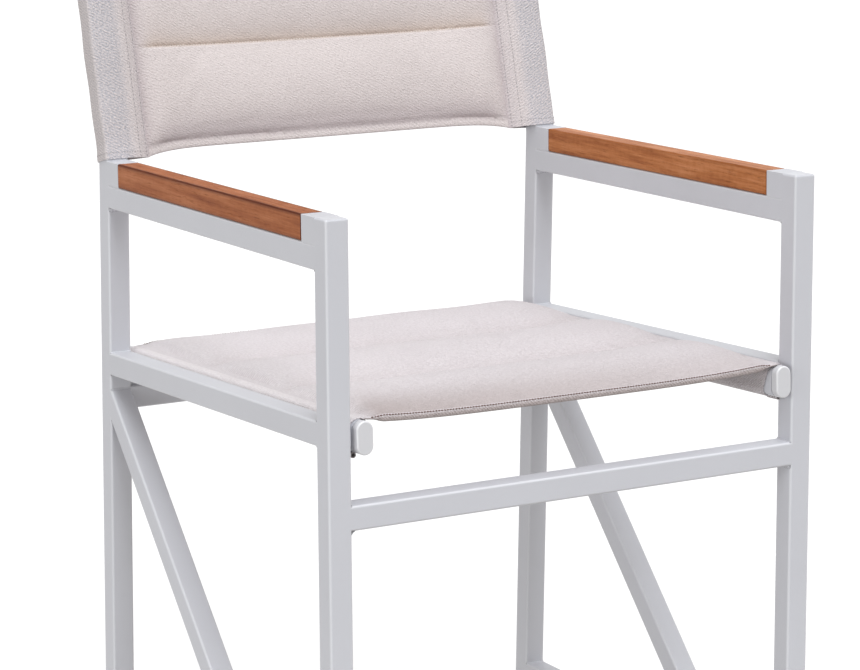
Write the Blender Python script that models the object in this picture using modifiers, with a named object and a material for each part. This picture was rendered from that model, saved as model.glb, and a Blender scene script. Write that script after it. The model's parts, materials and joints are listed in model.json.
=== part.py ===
"""Director's chair: a welded square-tube frame with wooden armrests and padded slings for seat and back.

Metres, +Z up. The chair faces -Y and stands on z = 0. Left is -X. Heights and depths are first laid out from
the front legs' front faces (y = 0), and the whole chair is then centred over its footprint.
"""

import math
from typing import NamedTuple

import bmesh
import bpy
from mathutils import Matrix, Vector

# Square tube of the frame
TUBE = 0.025
TUBE_WALL = 0.0015
TUBE_CORNER = 0.0025
CORNER_STEPS = 4
LEAST_CORNER = 0.0005  # a bore's corner is never sharper than this
SMOOTH_BELOW = math.radians(35)  # faces that meet at less are shaded as one

# Frame
OVERALL_WIDTH = 0.565
SIDE_DEPTH = 0.509  # front faces of front and rear legs, level with the arm rail's underside
ARM_HEIGHT = 0.640  # arm rail's underside, carried forward to y = 0
ARM_SLOPE = 0.0126  # fall of the arm rail towards the rear, per unit of run
SEAT_HEIGHT = 0.4948  # seat rail's top, carried forward to y = 0
SEAT_SLOPE = 0.0425
REAR_LEG_SLOPE = 0.0364  # run of the rear legs' feet to the rear, per unit of drop
FRONT_RAIL_DROP = 0.0828  # from the seat's height to the rail's top
REAR_RAIL_DROP = 0.0618
BRACE_DROP = 0.0636  # to the brace's upper face on the rear leg's front face
BRACE_ANGLE = math.radians(46.05)
BEND_DROP = 0.0048  # from the wood's top to where the rear leg's axis turns into the back post
BACK_LEAN = math.radians(14.4)

# Plugs in the open tube ends
PLUG_STUB = 0.012
FOOT_PAD = 0.0035
FOOT_ROUND = 0.0006
LEG_CAP = 0.003
LEG_CAP_ROUND = 0.002
POST_PLUG = 0.004
POST_PLUG_ROUND = 0.002
PLUG_ROUND_STEPS = 3

# Armrests
ARMREST_HEIGHT = 0.026
ARMREST_EASE = 0.0018
ARM_BLOCK = 0.0254  # length of the white block at each end of the wood
SCREW_INSET = 0.055  # from the wood's end to the screw
SCREW_BITE = 0.016  # thread in the wood
SCREW_SHANK = 0.0045
SCREW_HEAD = 0.009
SCREW_HEAD_HEIGHT = 0.0026
SCREW_CROWN = 0.0063  # flat top of the head
SCREW_TIP = 0.0015
SCREW_SIDES = 20

# Seat tubes and their end caps
SEAT_TUBE_WIDTH = 0.018
SEAT_TUBE_HEIGHT = 0.0335
SEAT_TUBE_WALL = 0.0015
SEAT_LUG = 0.004  # spacer between leg and seat tube
SEAT_LUG_WIDTH = 0.0085
SEAT_LUG_HEIGHT = 0.020
SEAT_CAP = 0.009
SEAT_CAP_PROUD = 0.003  # cap beyond the legs' outer faces
SEAT_CAP_ROUND = 0.0025
SEAT_BARE_END = 0.0125  # tube left bare between cap and sleeve
SLEEVE_SLANT = math.radians(10.0)  # the sleeve's ends are cut back towards the bottom

# Sling fabric and padding
SHEET = 0.0024  # two layers sewn together
SLEEVE_WALL = 0.0012
SIDE_FADE = 0.045  # width over which the padding dies out towards the sleeves
PAD_FLATNESS = 0.6  # 1 gives channels with the section of a sine, less gives fuller ones
SAG_FLATNESS = 4  # 2 gives a sag with the section of a parabola, more gives a flatter middle
SETBACK_FLATNESS = 8
PANEL_COLUMN_COUNT = 16
CHANNEL_ROW_COUNT = 8
SEAT_CHANNEL_COUNT = 3
SEAT_SAG = 0.006
SEAT_CROWN = 0.013  # padding above the sewn lines
SEAT_BELLY = 0.006  # padding below them
SEAT_HEM = 0.006
SEAT_HEM_THICKNESS = 0.0075
SEAT_HEM_SETBACK = 0.004  # seat's front and rear hems, inside the legs' faces
BACK_CHANNEL_COUNT = 2
BACK_HEIGHT = 0.2415  # along the posts
BACK_STAND = 0.004  # sling's lower edge above the bend, along the posts
BACK_SAG = 0.018  # rearwards
BACK_CROWN = 0.010
BACK_BELLY = 0.009
BACK_HEM = 0.008
BACK_HEM_THICKNESS = 0.004
BACK_HEM_SETBACK = 0.009  # panel's hems, inside the sleeves' ends
BACK_POCKET = 0.029  # from the post's inner face to the sleeve's seam

# Clearances
WELD_GAP = 0.0003
PLUG_FIT = 0.0004
SCREW_FIT = 0.0003
SLEEVE_FIT = 0.0004
SLEEVE_LAP = 0.0001  # how deep the panel's edge lies in the sleeve's wall

SIDES = {"left": -1, "right": 1}
X_AXIS = Vector((1, 0, 0))
Y_AXIS = Vector((0, 1, 0))
Z_AXIS = Vector((0, 0, 1))


class Plane(NamedTuple):
    """A flat cut, by a point on it and its normal."""

    point: Vector
    normal: Vector

    def moved(self, distance):
        return Plane(self.point + self.normal * distance, self.normal)

    def meets(self, start, along):
        """Where a line from start, along a direction, crosses the plane."""
        return start + along * ((self.point - start).dot(self.normal) / along.dot(self.normal))


def square_to(along):
    """The direction a quarter turn from another one in the side view: up from a rail, forward from a leg."""
    return Vector((0, -along.z, along.y))


# Directions and planes of the side view
LEG_UP = Vector((0, -REAR_LEG_SLOPE, 1)).normalized()
POST_UP = Vector((0, math.sin(BACK_LEAN), math.cos(BACK_LEAN)))
ARM_ALONG = Vector((0, 1, -ARM_SLOPE)).normalized()
SEAT_ALONG = Vector((0, 1, -SEAT_SLOPE)).normalized()
BRACE_UP = Vector((0, math.cos(BRACE_ANGLE), math.sin(BRACE_ANGLE)))
SEAT_UP = square_to(SEAT_ALONG)
POST_REAR = -square_to(POST_UP)

LEG_ENDS = Plane(Vector((0, 0, FOOT_PAD)), Z_AXIS)
BASE_TOP = LEG_ENDS.moved(TUBE)
FRONT_LEG_FRONT = Plane(Vector((0, 0, 0)), -Y_AXIS)
FRONT_LEG_REAR = Plane(Vector((0, TUBE, 0)), Y_AXIS)
REAR_LEG_FRONT = Plane(Vector((0, SIDE_DEPTH, ARM_HEIGHT)), square_to(LEG_UP))
REAR_LEG_REAR = REAR_LEG_FRONT.moved(-TUBE)
ARM_TOP = Plane(Vector((0, 0, ARM_HEIGHT)), square_to(ARM_ALONG)).moved(TUBE)
SEAT_TOP = Plane(Vector((0, 0, SEAT_HEIGHT)), SEAT_UP)
WOOD_TOP = ARM_TOP.moved(WELD_GAP + ARMREST_HEIGHT)

INNER_HALF = OVERALL_WIDTH / 2 - TUBE
SIDE_CENTRE = OVERALL_WIDTH / 2 - TUBE / 2
REAR_LEG_AXIS = REAR_LEG_FRONT.moved(-TUBE / 2).point
BEND = WOOD_TOP.moved(-BEND_DROP).meets(REAR_LEG_AXIS, LEG_UP)
POST_LENGTH = BACK_STAND + BACK_HEIGHT
SEAT_TUBE_CENTRE = INNER_HALF - SEAT_LUG - SEAT_TUBE_WIDTH / 2


def finish(name, colour, roughness, metallic=0.0):
    """A material with one colour."""
    material = bpy.data.materials.new(name)
    material.use_nodes = True
    shader = material.node_tree.nodes["Principled BSDF"]
    shader.inputs["Base Color"].default_value = (*colour, 1)
    shader.inputs["Roughness"].default_value = roughness
    shader.inputs["Metallic"].default_value = metallic
    return material


def clear_scene():
    """Removes what the file holds and makes the two collections and the chair's root."""
    for obj in list(bpy.data.objects):
        bpy.data.objects.remove(obj)
    chair = bpy.data.collections.new("directors_chair")
    cutters = bpy.data.collections.new("cutters")
    root = bpy.data.objects.new("chair_root", None)
    for collection in (chair, cutters):
        bpy.context.scene.collection.children.link(collection)
    chair.objects.link(root)
    return chair, cutters, root


CHAIR, CUTTERS, ROOT = clear_scene()
WHITE_COAT = finish("white_powder_coat", (0.80, 0.81, 0.83), 0.42)
WHITE_PLASTIC = finish("white_plastic", (0.82, 0.82, 0.84), 0.38)
FOOT_PLASTIC = finish("foot_plastic", (0.55, 0.55, 0.56), 0.55)
WOOD = finish("oiled_hardwood", (0.43, 0.17, 0.06), 0.48)
CANVAS = finish("off_white_weave", (0.78, 0.74, 0.73), 0.9)
STEEL = finish("screw_steel", (0.60, 0.60, 0.60), 0.35, 1.0)


def frame_at(origin, along, cross):
    """The matrix that puts local Z along a direction and local X along another, square to it."""
    turn = Matrix((cross, along.cross(cross), along)).transposed()
    return Matrix.Translation(origin) @ turn.to_4x4()


def add_piece(name, mesh, matrix, material, collection=None):
    """Puts a mesh into the chair as a named piece, on the root."""
    piece = bpy.data.objects.new(name, mesh)
    (collection or CHAIR).objects.link(piece)
    piece.parent = ROOT
    piece.matrix_local = matrix
    mesh.materials.clear()
    mesh.materials.append(material)
    mesh.shade_smooth()
    mesh.set_sharp_from_angle(angle=SMOOTH_BELOW)
    return piece


def add_tool(name, mesh, matrix):
    """Puts a mesh into the cutters, where it is not drawn."""
    tool = add_piece(name, mesh, matrix, WHITE_COAT, CUTTERS)
    tool.hide_render = True
    tool.display_type = "WIRE"
    return tool


def combine(piece, tool, operation):
    """Cuts a tool from a piece, or joins it to the piece."""
    boolean = piece.modifiers.new(tool.name, "BOOLEAN")
    boolean.operation = operation
    boolean.solver = "EXACT"
    boolean.object = tool


def rounded_outline(width, height, radius):
    """Points of a rectangle with round corners, anticlockwise about its middle."""
    points = []
    for quarter, (x, y) in enumerate(((1, 1), (-1, 1), (-1, -1), (1, -1))):
        for step in range(CORNER_STEPS + 1):
            angle = math.pi / 2 * (quarter + step / CORNER_STEPS)
            points.append(
                (
                    x * (width / 2 - radius) + radius * math.cos(angle),
                    y * (height / 2 - radius) + radius * math.sin(angle),
                )
            )
    return points


def outline_mesh(name, outlines, depth):
    """A flat outline, with the later outlines as its holes, given a depth about z = 0."""
    curve = bpy.data.curves.new(name, "CURVE")
    curve.dimensions = "2D"
    curve.fill_mode = "BOTH"
    curve.extrude = depth / 2
    for outline in outlines:
        spline = curve.splines.new("POLY")
        spline.points.add(len(outline) - 1)
        spline.use_cyclic_u = True
        for point, (x, y) in zip(spline.points, outline):
            point.co = (x, y, 0, 1)
    flat = bpy.data.objects.new(name, curve)
    CUTTERS.objects.link(flat)
    mesh = bpy.data.meshes.new_from_object(flat.evaluated_get(bpy.context.evaluated_depsgraph_get()))
    bpy.data.objects.remove(flat)
    solid = bmesh.new()
    solid.from_mesh(mesh)
    bmesh.ops.remove_doubles(solid, verts=solid.verts, dist=1e-6)
    bmesh.ops.recalc_face_normals(solid, faces=solid.faces)
    solid.to_mesh(mesh)
    solid.free()
    return mesh


def profile_between(name, outlines, through, along, cross, first, last):
    """The mesh and matrix of a profile that runs along a line and is cut off by two planes."""
    start = first.meets(through, along)
    mesh = outline_mesh(name, outlines, 1.0)
    matrix = frame_at(start, along, cross)
    turn = matrix.to_3x3().transposed()
    ends = [(turn @ (plane.meets(start, along) - start), turn @ plane.normal) for plane in (first, last)]
    for vertex in mesh.vertices:
        point, normal = ends[vertex.co.z > 0]
        slope = normal.x * vertex.co.x + normal.y * vertex.co.y
        vertex.co.z = point.z - slope / normal.z
    return mesh, matrix


def tube_outlines(width, height, wall, corner):
    """Outer and inner outline of a tube."""
    bore_corner = max(corner - wall, LEAST_CORNER)
    bore = rounded_outline(width - 2 * wall, height - 2 * wall, bore_corner)
    return [rounded_outline(width, height, corner), bore]


def square_tube(name, through, along, first, last, cross=X_AXIS, height=TUBE):
    """A length of the frame's tube along a line, between two cuts."""
    outlines = tube_outlines(TUBE, height, TUBE_WALL, TUBE_CORNER)
    mesh, matrix = profile_between(name, outlines, through, along, cross, first, last)
    return add_piece(name, mesh, matrix, WHITE_COAT)


def plug(name, matrix, width, height, corner, inset, plate, rounding, material, drift=0.0):
    """A plug for an open tube end: a plate outside, with a round edge, and a narrower stub inside.

    The matrix's origin is the middle of the tube's end, and its Z points out of the tube. The stub drifts
    along local Y with its depth, to follow a bore that isn't square to the plate.
    """
    stations = [(-PLUG_STUB, inset), (WELD_GAP, inset), (WELD_GAP, 0.0)]
    for step in range(PLUG_ROUND_STEPS + 1):
        angle = math.pi / 2 * step / PLUG_ROUND_STEPS
        rise = plate - rounding + rounding * math.sin(angle)
        stations.append((rise, rounding * (1 - math.cos(angle))))
    solid = bmesh.new()
    rings = []
    for z, inward in stations:
        radius = max(corner - inward, LEAST_CORNER)
        ring = rounded_outline(width - 2 * inward, height - 2 * inward, radius)
        rings.append([solid.verts.new((x, y + drift * min(z, 0.0), z)) for x, y in ring])
    for lower, upper in zip(rings, rings[1:]):
        for i in range(len(lower)):
            j = (i + 1) % len(lower)
            solid.faces.new((lower[i], lower[j], upper[j], upper[i]))
    solid.faces.new(list(reversed(rings[0])))
    solid.faces.new(rings[-1])
    mesh = bpy.data.meshes.new(name)
    solid.to_mesh(mesh)
    solid.free()
    return add_piece(name, mesh, matrix, material)


def side_frame(side, sign):
    """The tubes of one side: legs, back post, arm, seat and base rails, and the brace."""
    here = X_AXIS * sign * SIDE_CENTRE
    front_end = FRONT_LEG_REAR.moved(WELD_GAP)
    rear_end = REAR_LEG_FRONT.moved(WELD_GAP)

    leg_top = Plane(Vector((0, 0, WOOD_TOP.point.z)), Z_AXIS).moved(-LEG_CAP)
    front_axis = here + Y_AXIS * TUBE / 2
    square_tube(f"{side}_front_leg", front_axis, Z_AXIS, LEG_ENDS, leg_top)

    mitre = Plane(BEND, (LEG_UP + POST_UP).normalized())
    square_tube(f"{side}_rear_leg", here + REAR_LEG_AXIS, LEG_UP, LEG_ENDS, mitre)
    post_top = Plane(BEND, POST_UP).moved(POST_LENGTH)
    square_tube(f"{side}_back_post", here + BEND, POST_UP, mitre.moved(WELD_GAP), post_top)

    arm_axis = here + ARM_TOP.moved(-TUBE / 2).point
    square_tube(f"{side}_arm_rail", arm_axis, ARM_ALONG, front_end, rear_end)
    seat_axis = here + SEAT_TOP.moved(-TUBE / 2).point
    square_tube(f"{side}_seat_rail", seat_axis, SEAT_ALONG, front_end, rear_end)
    base_axis = here + BASE_TOP.moved(-TUBE / 2).point
    square_tube(f"{side}_base_rail", base_axis, Y_AXIS, front_end, rear_end)

    brace_face = Plane(Vector((0, 0, SEAT_HEIGHT - BRACE_DROP)), Z_AXIS).meets(REAR_LEG_FRONT.point, LEG_UP)
    brace_axis = here + brace_face - square_to(BRACE_UP) * TUBE / 2
    square_tube(f"{side}_side_brace", brace_axis, BRACE_UP, BASE_TOP.moved(WELD_GAP), rear_end)

    cap_place = frame_at(leg_top.meets(front_axis, Z_AXIS), Z_AXIS, X_AXIS)
    end_plug(f"{side}_front_leg_cap", cap_place, LEG_CAP, LEG_CAP_ROUND, WHITE_PLASTIC)
    post_place = frame_at(here + post_top.point, POST_UP, X_AXIS)
    end_plug(f"{side}_back_post_plug", post_place, POST_PLUG, POST_PLUG_ROUND, WHITE_PLASTIC)
    for end, axis, along, drift in (
        ("front", front_axis, Z_AXIS, 0.0),
        ("rear", here + REAR_LEG_AXIS, LEG_UP, -REAR_LEG_SLOPE),
    ):
        foot_place = frame_at(LEG_ENDS.meets(axis, along), -Z_AXIS, X_AXIS)
        end_plug(f"{side}_{end}_foot", foot_place, FOOT_PAD, FOOT_ROUND, FOOT_PLASTIC, drift)


def end_plug(name, matrix, plate, rounding, material, drift=0.0):
    """A plug in the end of a frame tube."""
    plug(name, matrix, TUBE, TUBE, TUBE_CORNER, TUBE_WALL + PLUG_FIT, plate, rounding, material, drift)


def cross_rails():
    """The two rails that tie the side frames together."""
    ends = [Plane(X_AXIS * sign * INNER_HALF, X_AXIS * sign).moved(-WELD_GAP) for sign in (-1, 1)]
    front_axis = Vector((0, TUBE / 2, SEAT_HEIGHT - FRONT_RAIL_DROP - TUBE / 2))
    square_tube("front_rail", front_axis, X_AXIS, *ends, cross=Y_AXIS)
    rear_height = Plane(Vector((0, 0, SEAT_HEIGHT - REAR_RAIL_DROP)), Z_AXIS)
    rear_axis = rear_height.meets(REAR_LEG_AXIS, LEG_UP) - LEG_UP * TUBE / 2
    square_tube("rear_rail", rear_axis, X_AXIS, *ends, cross=LEG_UP)


def arm_top(side, sign):
    """What lies on an arm rail: the wood, the block at each of its ends and the screws from below."""
    here = X_AXIS * sign * SIDE_CENTRE
    axis = here + ARM_TOP.moved(WELD_GAP + ARMREST_HEIGHT / 2).point
    front_end = FRONT_LEG_REAR.moved(WELD_GAP)
    rear_end = REAR_LEG_FRONT.moved(WELD_GAP)
    wood_front = Plane(front_end.meets(axis, ARM_ALONG), ARM_ALONG).moved(ARM_BLOCK)
    wood_rear = Plane(rear_end.meets(axis, ARM_ALONG), ARM_ALONG).moved(-ARM_BLOCK)
    square_tube(f"{side}_arm_front_block", axis, ARM_ALONG, front_end, wood_front, height=ARMREST_HEIGHT)
    square_tube(f"{side}_arm_rear_block", axis, ARM_ALONG, wood_rear, rear_end, height=ARMREST_HEIGHT)

    bar = [rounded_outline(TUBE, ARMREST_HEIGHT, ARMREST_EASE)]
    ends = wood_front.moved(WELD_GAP), wood_rear.moved(-WELD_GAP)
    mesh, matrix = profile_between(f"{side}_armrest", bar, axis, ARM_ALONG, X_AXIS, *ends)
    armrest = add_piece(f"{side}_armrest", mesh, matrix, WOOD)

    rail = bpy.data.objects[f"{side}_arm_rail"]
    up = square_to(ARM_ALONG)
    for end, wood_end, inset in (("front", wood_front, SCREW_INSET), ("rear", wood_rear, -SCREW_INSET)):
        seat = wood_end.moved(inset).meets(axis, ARM_ALONG) - up * (ARMREST_HEIGHT / 2 + WELD_GAP + TUBE)
        place = frame_at(seat, up, X_AXIS)
        armrest_screw(f"{side}_{end}_armrest_screw", place)
        hole = add_tool(f"{side}_{end}_screw_hole", screw_hole_mesh(), place)
        combine(rail, hole, "DIFFERENCE")
        combine(armrest, hole, "DIFFERENCE")


def screw_hole_mesh():
    """A round hole from below the arm rail to just past the screw's tip."""
    deep = TUBE + WELD_GAP + SCREW_BITE + SCREW_FIT
    solid = bmesh.new()
    radius = SCREW_SHANK / 2 + SCREW_FIT
    start = -SCREW_HEAD_HEIGHT
    shift = Matrix.Translation((0, 0, (deep + start) / 2))
    bmesh.ops.create_cone(
        solid,
        cap_ends=True,
        segments=SCREW_SIDES,
        radius1=radius,
        radius2=radius,
        depth=deep - start,
        matrix=shift,
    )
    mesh = bpy.data.meshes.new("screw_hole")
    solid.to_mesh(mesh)
    solid.free()
    return mesh


def armrest_screw(name, matrix):
    """A pan-head screw, turned from its profile; z = 0 is the underside of the arm rail."""
    shank, head = SCREW_SHANK / 2, SCREW_HEAD / 2
    tip = TUBE + WELD_GAP + SCREW_BITE
    crown = -WELD_GAP - SCREW_HEAD_HEIGHT
    profile = [
        (0, tip),
        (SCREW_TIP / 2, tip),
        (shank, tip - SCREW_SHANK),
        (shank, -WELD_GAP),
        (head, -WELD_GAP),
        (head, -WELD_GAP - SCREW_HEAD_HEIGHT / 2),
        (SCREW_CROWN / 2, crown),
        (0, crown),
    ]
    mesh = bpy.data.meshes.new(name)
    mesh.from_pydata([(r, 0, z) for r, z in profile], [(i, i + 1) for i in range(len(profile) - 1)], [])
    screw = add_piece(name, mesh, matrix, STEEL)
    turning = screw.modifiers.new("turned", "SCREW")
    turning.steps = SCREW_SIDES
    turning.render_steps = SCREW_SIDES
    turning.use_merge_vertices = True
    turning.merge_threshold = 0.00001


def seat_line(sign):
    """A point on the axis of a seat tube; its top lies in the plane of the seat rails' tops."""
    return X_AXIS * sign * SEAT_TUBE_CENTRE + SEAT_TOP.moved(-SEAT_TUBE_HEIGHT / 2).point


def seat_ends(sign):
    """The planes of a seat tube's front and rear end, both facing to the rear."""
    front = FRONT_LEG_FRONT.meets(seat_line(sign), SEAT_ALONG)
    rear = REAR_LEG_REAR.meets(seat_line(sign), SEAT_ALONG)
    reach = SEAT_CAP - SEAT_CAP_PROUD
    return Plane(front, SEAT_ALONG).moved(reach), Plane(rear, SEAT_ALONG).moved(-reach)


def seat_side(side, sign):
    """A seat tube with its two end caps and the two lugs that hold it on the legs."""
    axis = seat_line(sign)
    front, rear = seat_ends(sign)
    radius = SEAT_TUBE_WIDTH / 2
    outlines = tube_outlines(SEAT_TUBE_WIDTH, SEAT_TUBE_HEIGHT, SEAT_TUBE_WALL, radius)
    mesh, matrix = profile_between(f"{side}_seat_tube", outlines, axis, SEAT_ALONG, X_AXIS, front, rear)
    add_piece(f"{side}_seat_tube", mesh, matrix, WHITE_COAT)

    inset = SEAT_TUBE_WALL + PLUG_FIT
    lug_middle = (INNER_HALF + SEAT_TUBE_CENTRE + SEAT_TUBE_WIDTH / 2) / 2
    for end, plane, inward in (("front", front, 1), ("rear", rear, -1)):
        cap_place = frame_at(plane.point, -inward * SEAT_ALONG, X_AXIS)
        plug(
            f"{side}_seat_tube_{end}_cap",
            cap_place,
            SEAT_TUBE_WIDTH,
            SEAT_TUBE_HEIGHT,
            radius,
            inset,
            SEAT_CAP,
            SEAT_CAP_ROUND,
            WHITE_PLASTIC,
        )
        middle = plane.moved(inward * SEAT_BARE_END / 2).point
        place = frame_at(Vector((sign * lug_middle, middle.y, middle.z)), X_AXIS, SEAT_ALONG)
        outline = [rounded_outline(SEAT_LUG_WIDTH, SEAT_LUG_HEIGHT, TUBE_CORNER)]
        lug = outline_mesh(f"{side}_{end}_seat_lug", outline, SEAT_LUG - 2 * WELD_GAP)
        add_piece(f"{side}_{end}_seat_lug", lug, place, WHITE_COAT)


class Panel(NamedTuple):
    """Sizes of a padded panel. The margin is the width at each side that has no padding."""

    half_width: float
    length: float
    channels: int
    sag: float
    crown: float
    belly: float
    hem: float
    hem_thickness: float
    hem_setback: float
    edge_layers: float
    margin: float


def padding_rows(panel):
    """Rows along a panel, hem to hem: how far along each lies, its padding, and whether it is in a hem."""
    pitch = (panel.length - 2 * panel.hem) / panel.channels
    rows = [(0.0, 0.0, True)]
    last = panel.channels * CHANNEL_ROW_COUNT
    for row in range(last + 1):
        fullness = abs(math.sin(math.pi * row / CHANNEL_ROW_COUNT)) ** PAD_FLATNESS
        rows.append((panel.hem + pitch * row / CHANNEL_ROW_COUNT, fullness, row in (0, last)))
    return rows + [(panel.length, 0.0, True)]


def padded_panel(name, panel):
    """A padded panel of sewn channels, as two sheets over a grid, in its own frame.

    X runs across, Y along and Z towards the crown. The panel hangs between its sides with a sag and swells
    between the sewn lines. Its sides are as thin as the sleeves that take over there.
    """
    rows = padding_rows(panel)
    solid = bmesh.new()
    bmesh.ops.create_grid(solid, x_segments=PANEL_COLUMN_COUNT, y_segments=len(rows) - 1, size=1)
    made = bmesh.ops.extrude_face_region(solid, geom=solid.faces[:], use_keep_orig=True)["geom"]
    upper = {element for element in made if isinstance(element, bmesh.types.BMVert)}
    for vertex in solid.verts:
        across = math.sin(vertex.co.x * math.pi / 2)
        along, fullness, in_hem = rows[round((vertex.co.y + 1) / 2 * (len(rows) - 1))]
        inside = panel.half_width * (1 - abs(across))
        spread = min(1.0, max(0.0, inside - panel.margin) / SIDE_FADE)
        pad = fullness * math.sqrt(spread * (2 - spread))
        layers = panel.edge_layers + (SHEET - panel.edge_layers) * min(1.0, inside / panel.hem)
        if in_hem:
            layers += (panel.hem_thickness - SHEET) * spread
        middle = -panel.sag * (1 - abs(across) ** SAG_FLATNESS)
        setback = panel.hem_setback * (1 - abs(across) ** SETBACK_FLATNESS) * (1 - 2 * along / panel.length)
        if vertex in upper:
            z = middle + layers / 2 + pad * panel.crown
        else:
            z = middle - layers / 2 - pad * panel.belly
        vertex.co = (panel.half_width * across, along + setback, z)
    bmesh.ops.recalc_face_normals(solid, faces=solid.faces)
    mesh = bpy.data.meshes.new(name)
    solid.to_mesh(mesh)
    solid.free()
    return mesh


def seat_sling():
    """The padded seat: a panel hung from two sleeves round the seat tubes."""
    grow = 2 * (SLEEVE_FIT + SLEEVE_WALL)
    sleeve_width = SEAT_TUBE_WIDTH + grow
    sleeve_height = SEAT_TUBE_HEIGHT + grow
    first = FRONT_LEG_FRONT.meets(SEAT_TOP.point, SEAT_ALONG) + SEAT_ALONG * SEAT_HEM_SETBACK
    last = REAR_LEG_REAR.meets(SEAT_TOP.point, SEAT_ALONG) - SEAT_ALONG * SEAT_HEM_SETBACK
    panel = Panel(
        half_width=SEAT_TUBE_CENTRE - SLEEVE_WALL,
        length=(last - first).length,
        channels=SEAT_CHANNEL_COUNT,
        sag=SEAT_SAG,
        crown=SEAT_CROWN,
        belly=SEAT_BELLY,
        hem=SEAT_HEM,
        hem_thickness=SEAT_HEM_THICKNESS,
        hem_setback=0.0,
        edge_layers=SLEEVE_WALL - 2 * SLEEVE_LAP,
        margin=sleeve_width / 2,
    )
    place = frame_at(first + SEAT_UP * (SLEEVE_FIT + SLEEVE_WALL / 2), SEAT_UP, X_AXIS)
    sling = add_piece("seat_sling", padded_panel("seat_sling", panel), place, CANVAS)
    outlines = tube_outlines(sleeve_width, sleeve_height, SLEEVE_WALL, sleeve_width / 2)
    for side, sign in SIDES.items():
        front, rear = seat_ends(sign)
        ends = []
        for plane, inward in ((front, 1), (rear, -1)):
            slanted = Matrix.Rotation(inward * SLEEVE_SLANT, 3, "X") @ plane.normal
            ends.append(Plane(plane.moved(inward * SEAT_BARE_END).point, slanted))
        name = f"{side}_seat_sleeve"
        sleeve, matrix = profile_between(name, outlines, seat_line(sign), SEAT_ALONG, X_AXIS, *ends)
        combine(sling, add_tool(name, sleeve, matrix), "UNION")


def sleeve_outline(sign, half, corner, seam, seam_half):
    """Outline of a back sleeve round its post: square on three sides and drawn to a seam on the inner one."""
    points = [(seam, -seam_half), (INNER_HALF, -half)]
    for start, y in ((-90, -1), (0, 1)):
        for step in range(CORNER_STEPS + 1):
            angle = math.radians(start + 90 * step / CORNER_STEPS)
            across = SIDE_CENTRE + half - corner + corner * math.cos(angle)
            points.append((across, y * (half - corner) + corner * math.sin(angle)))
    points += [(INNER_HALF, half), (seam, seam_half)]
    return [(sign * x, y) for x, y in points]


def back_sling():
    """The padded back: a panel between two sleeves that slide over the back posts."""
    seam = INNER_HALF - BACK_POCKET
    panel = Panel(
        half_width=seam,
        length=BACK_HEIGHT,
        channels=BACK_CHANNEL_COUNT,
        sag=BACK_SAG,
        crown=BACK_CROWN,
        belly=BACK_BELLY,
        hem=BACK_HEM,
        hem_thickness=BACK_HEM_THICKNESS,
        hem_setback=BACK_HEM_SETBACK,
        edge_layers=SHEET - 2 * SLEEVE_LAP,
        margin=0.0,
    )
    foot = BEND + POST_UP * BACK_STAND
    place = frame_at(foot, -POST_REAR, X_AXIS)
    sling = add_piece("back_sling", padded_panel("back_sling", panel), place, CANVAS)
    ends = Plane(foot, POST_UP), Plane(foot, POST_UP).moved(BACK_HEIGHT)
    inner_half = TUBE / 2 + SLEEVE_FIT
    inner_corner = TUBE_CORNER + SLEEVE_FIT
    for side, sign in SIDES.items():
        outer = sleeve_outline(
            sign, inner_half + SLEEVE_WALL, inner_corner + SLEEVE_WALL, seam - SLEEVE_WALL, SHEET / 2
        )
        bore = sleeve_outline(sign, inner_half, inner_corner, seam + 2 * SLEEVE_WALL, SHEET / 4)
        name = f"{side}_back_sleeve"
        sleeve, matrix = profile_between(name, [outer, bore], foot, POST_UP, X_AXIS, *ends)
        combine(sling, add_tool(name, sleeve, matrix), "UNION")


def centre_on_footprint():
    """Moves the root so that the origin lies under the middle of the chair's box."""
    bpy.context.view_layer.update()
    graph = bpy.context.evaluated_depsgraph_get()
    depths = []
    for piece in CHAIR.objects:
        if piece.type == "MESH":
            shown = piece.evaluated_get(graph)
            depths += [(shown.matrix_world @ Vector(corner)).y for corner in shown.bound_box]
    ROOT.location.y = -(min(depths) + max(depths)) / 2


def main():
    for side, sign in SIDES.items():
        side_frame(side, sign)
        arm_top(side, sign)
        seat_side(side, sign)
    cross_rails()
    seat_sling()
    back_sling()
    centre_on_footprint()


main()
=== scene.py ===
"""Director's chair, dressed: a welded white frame, oiled wood armrests and padded slings.

Metres, +Z up. The chair faces -Y and left is -X. Every piece is built in place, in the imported
model's frame.
"""

import json
import logging
import math
from dataclasses import dataclass
from enum import Enum

import bmesh
import bpy
import numpy as np
from mathutils import Matrix, Vector

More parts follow.
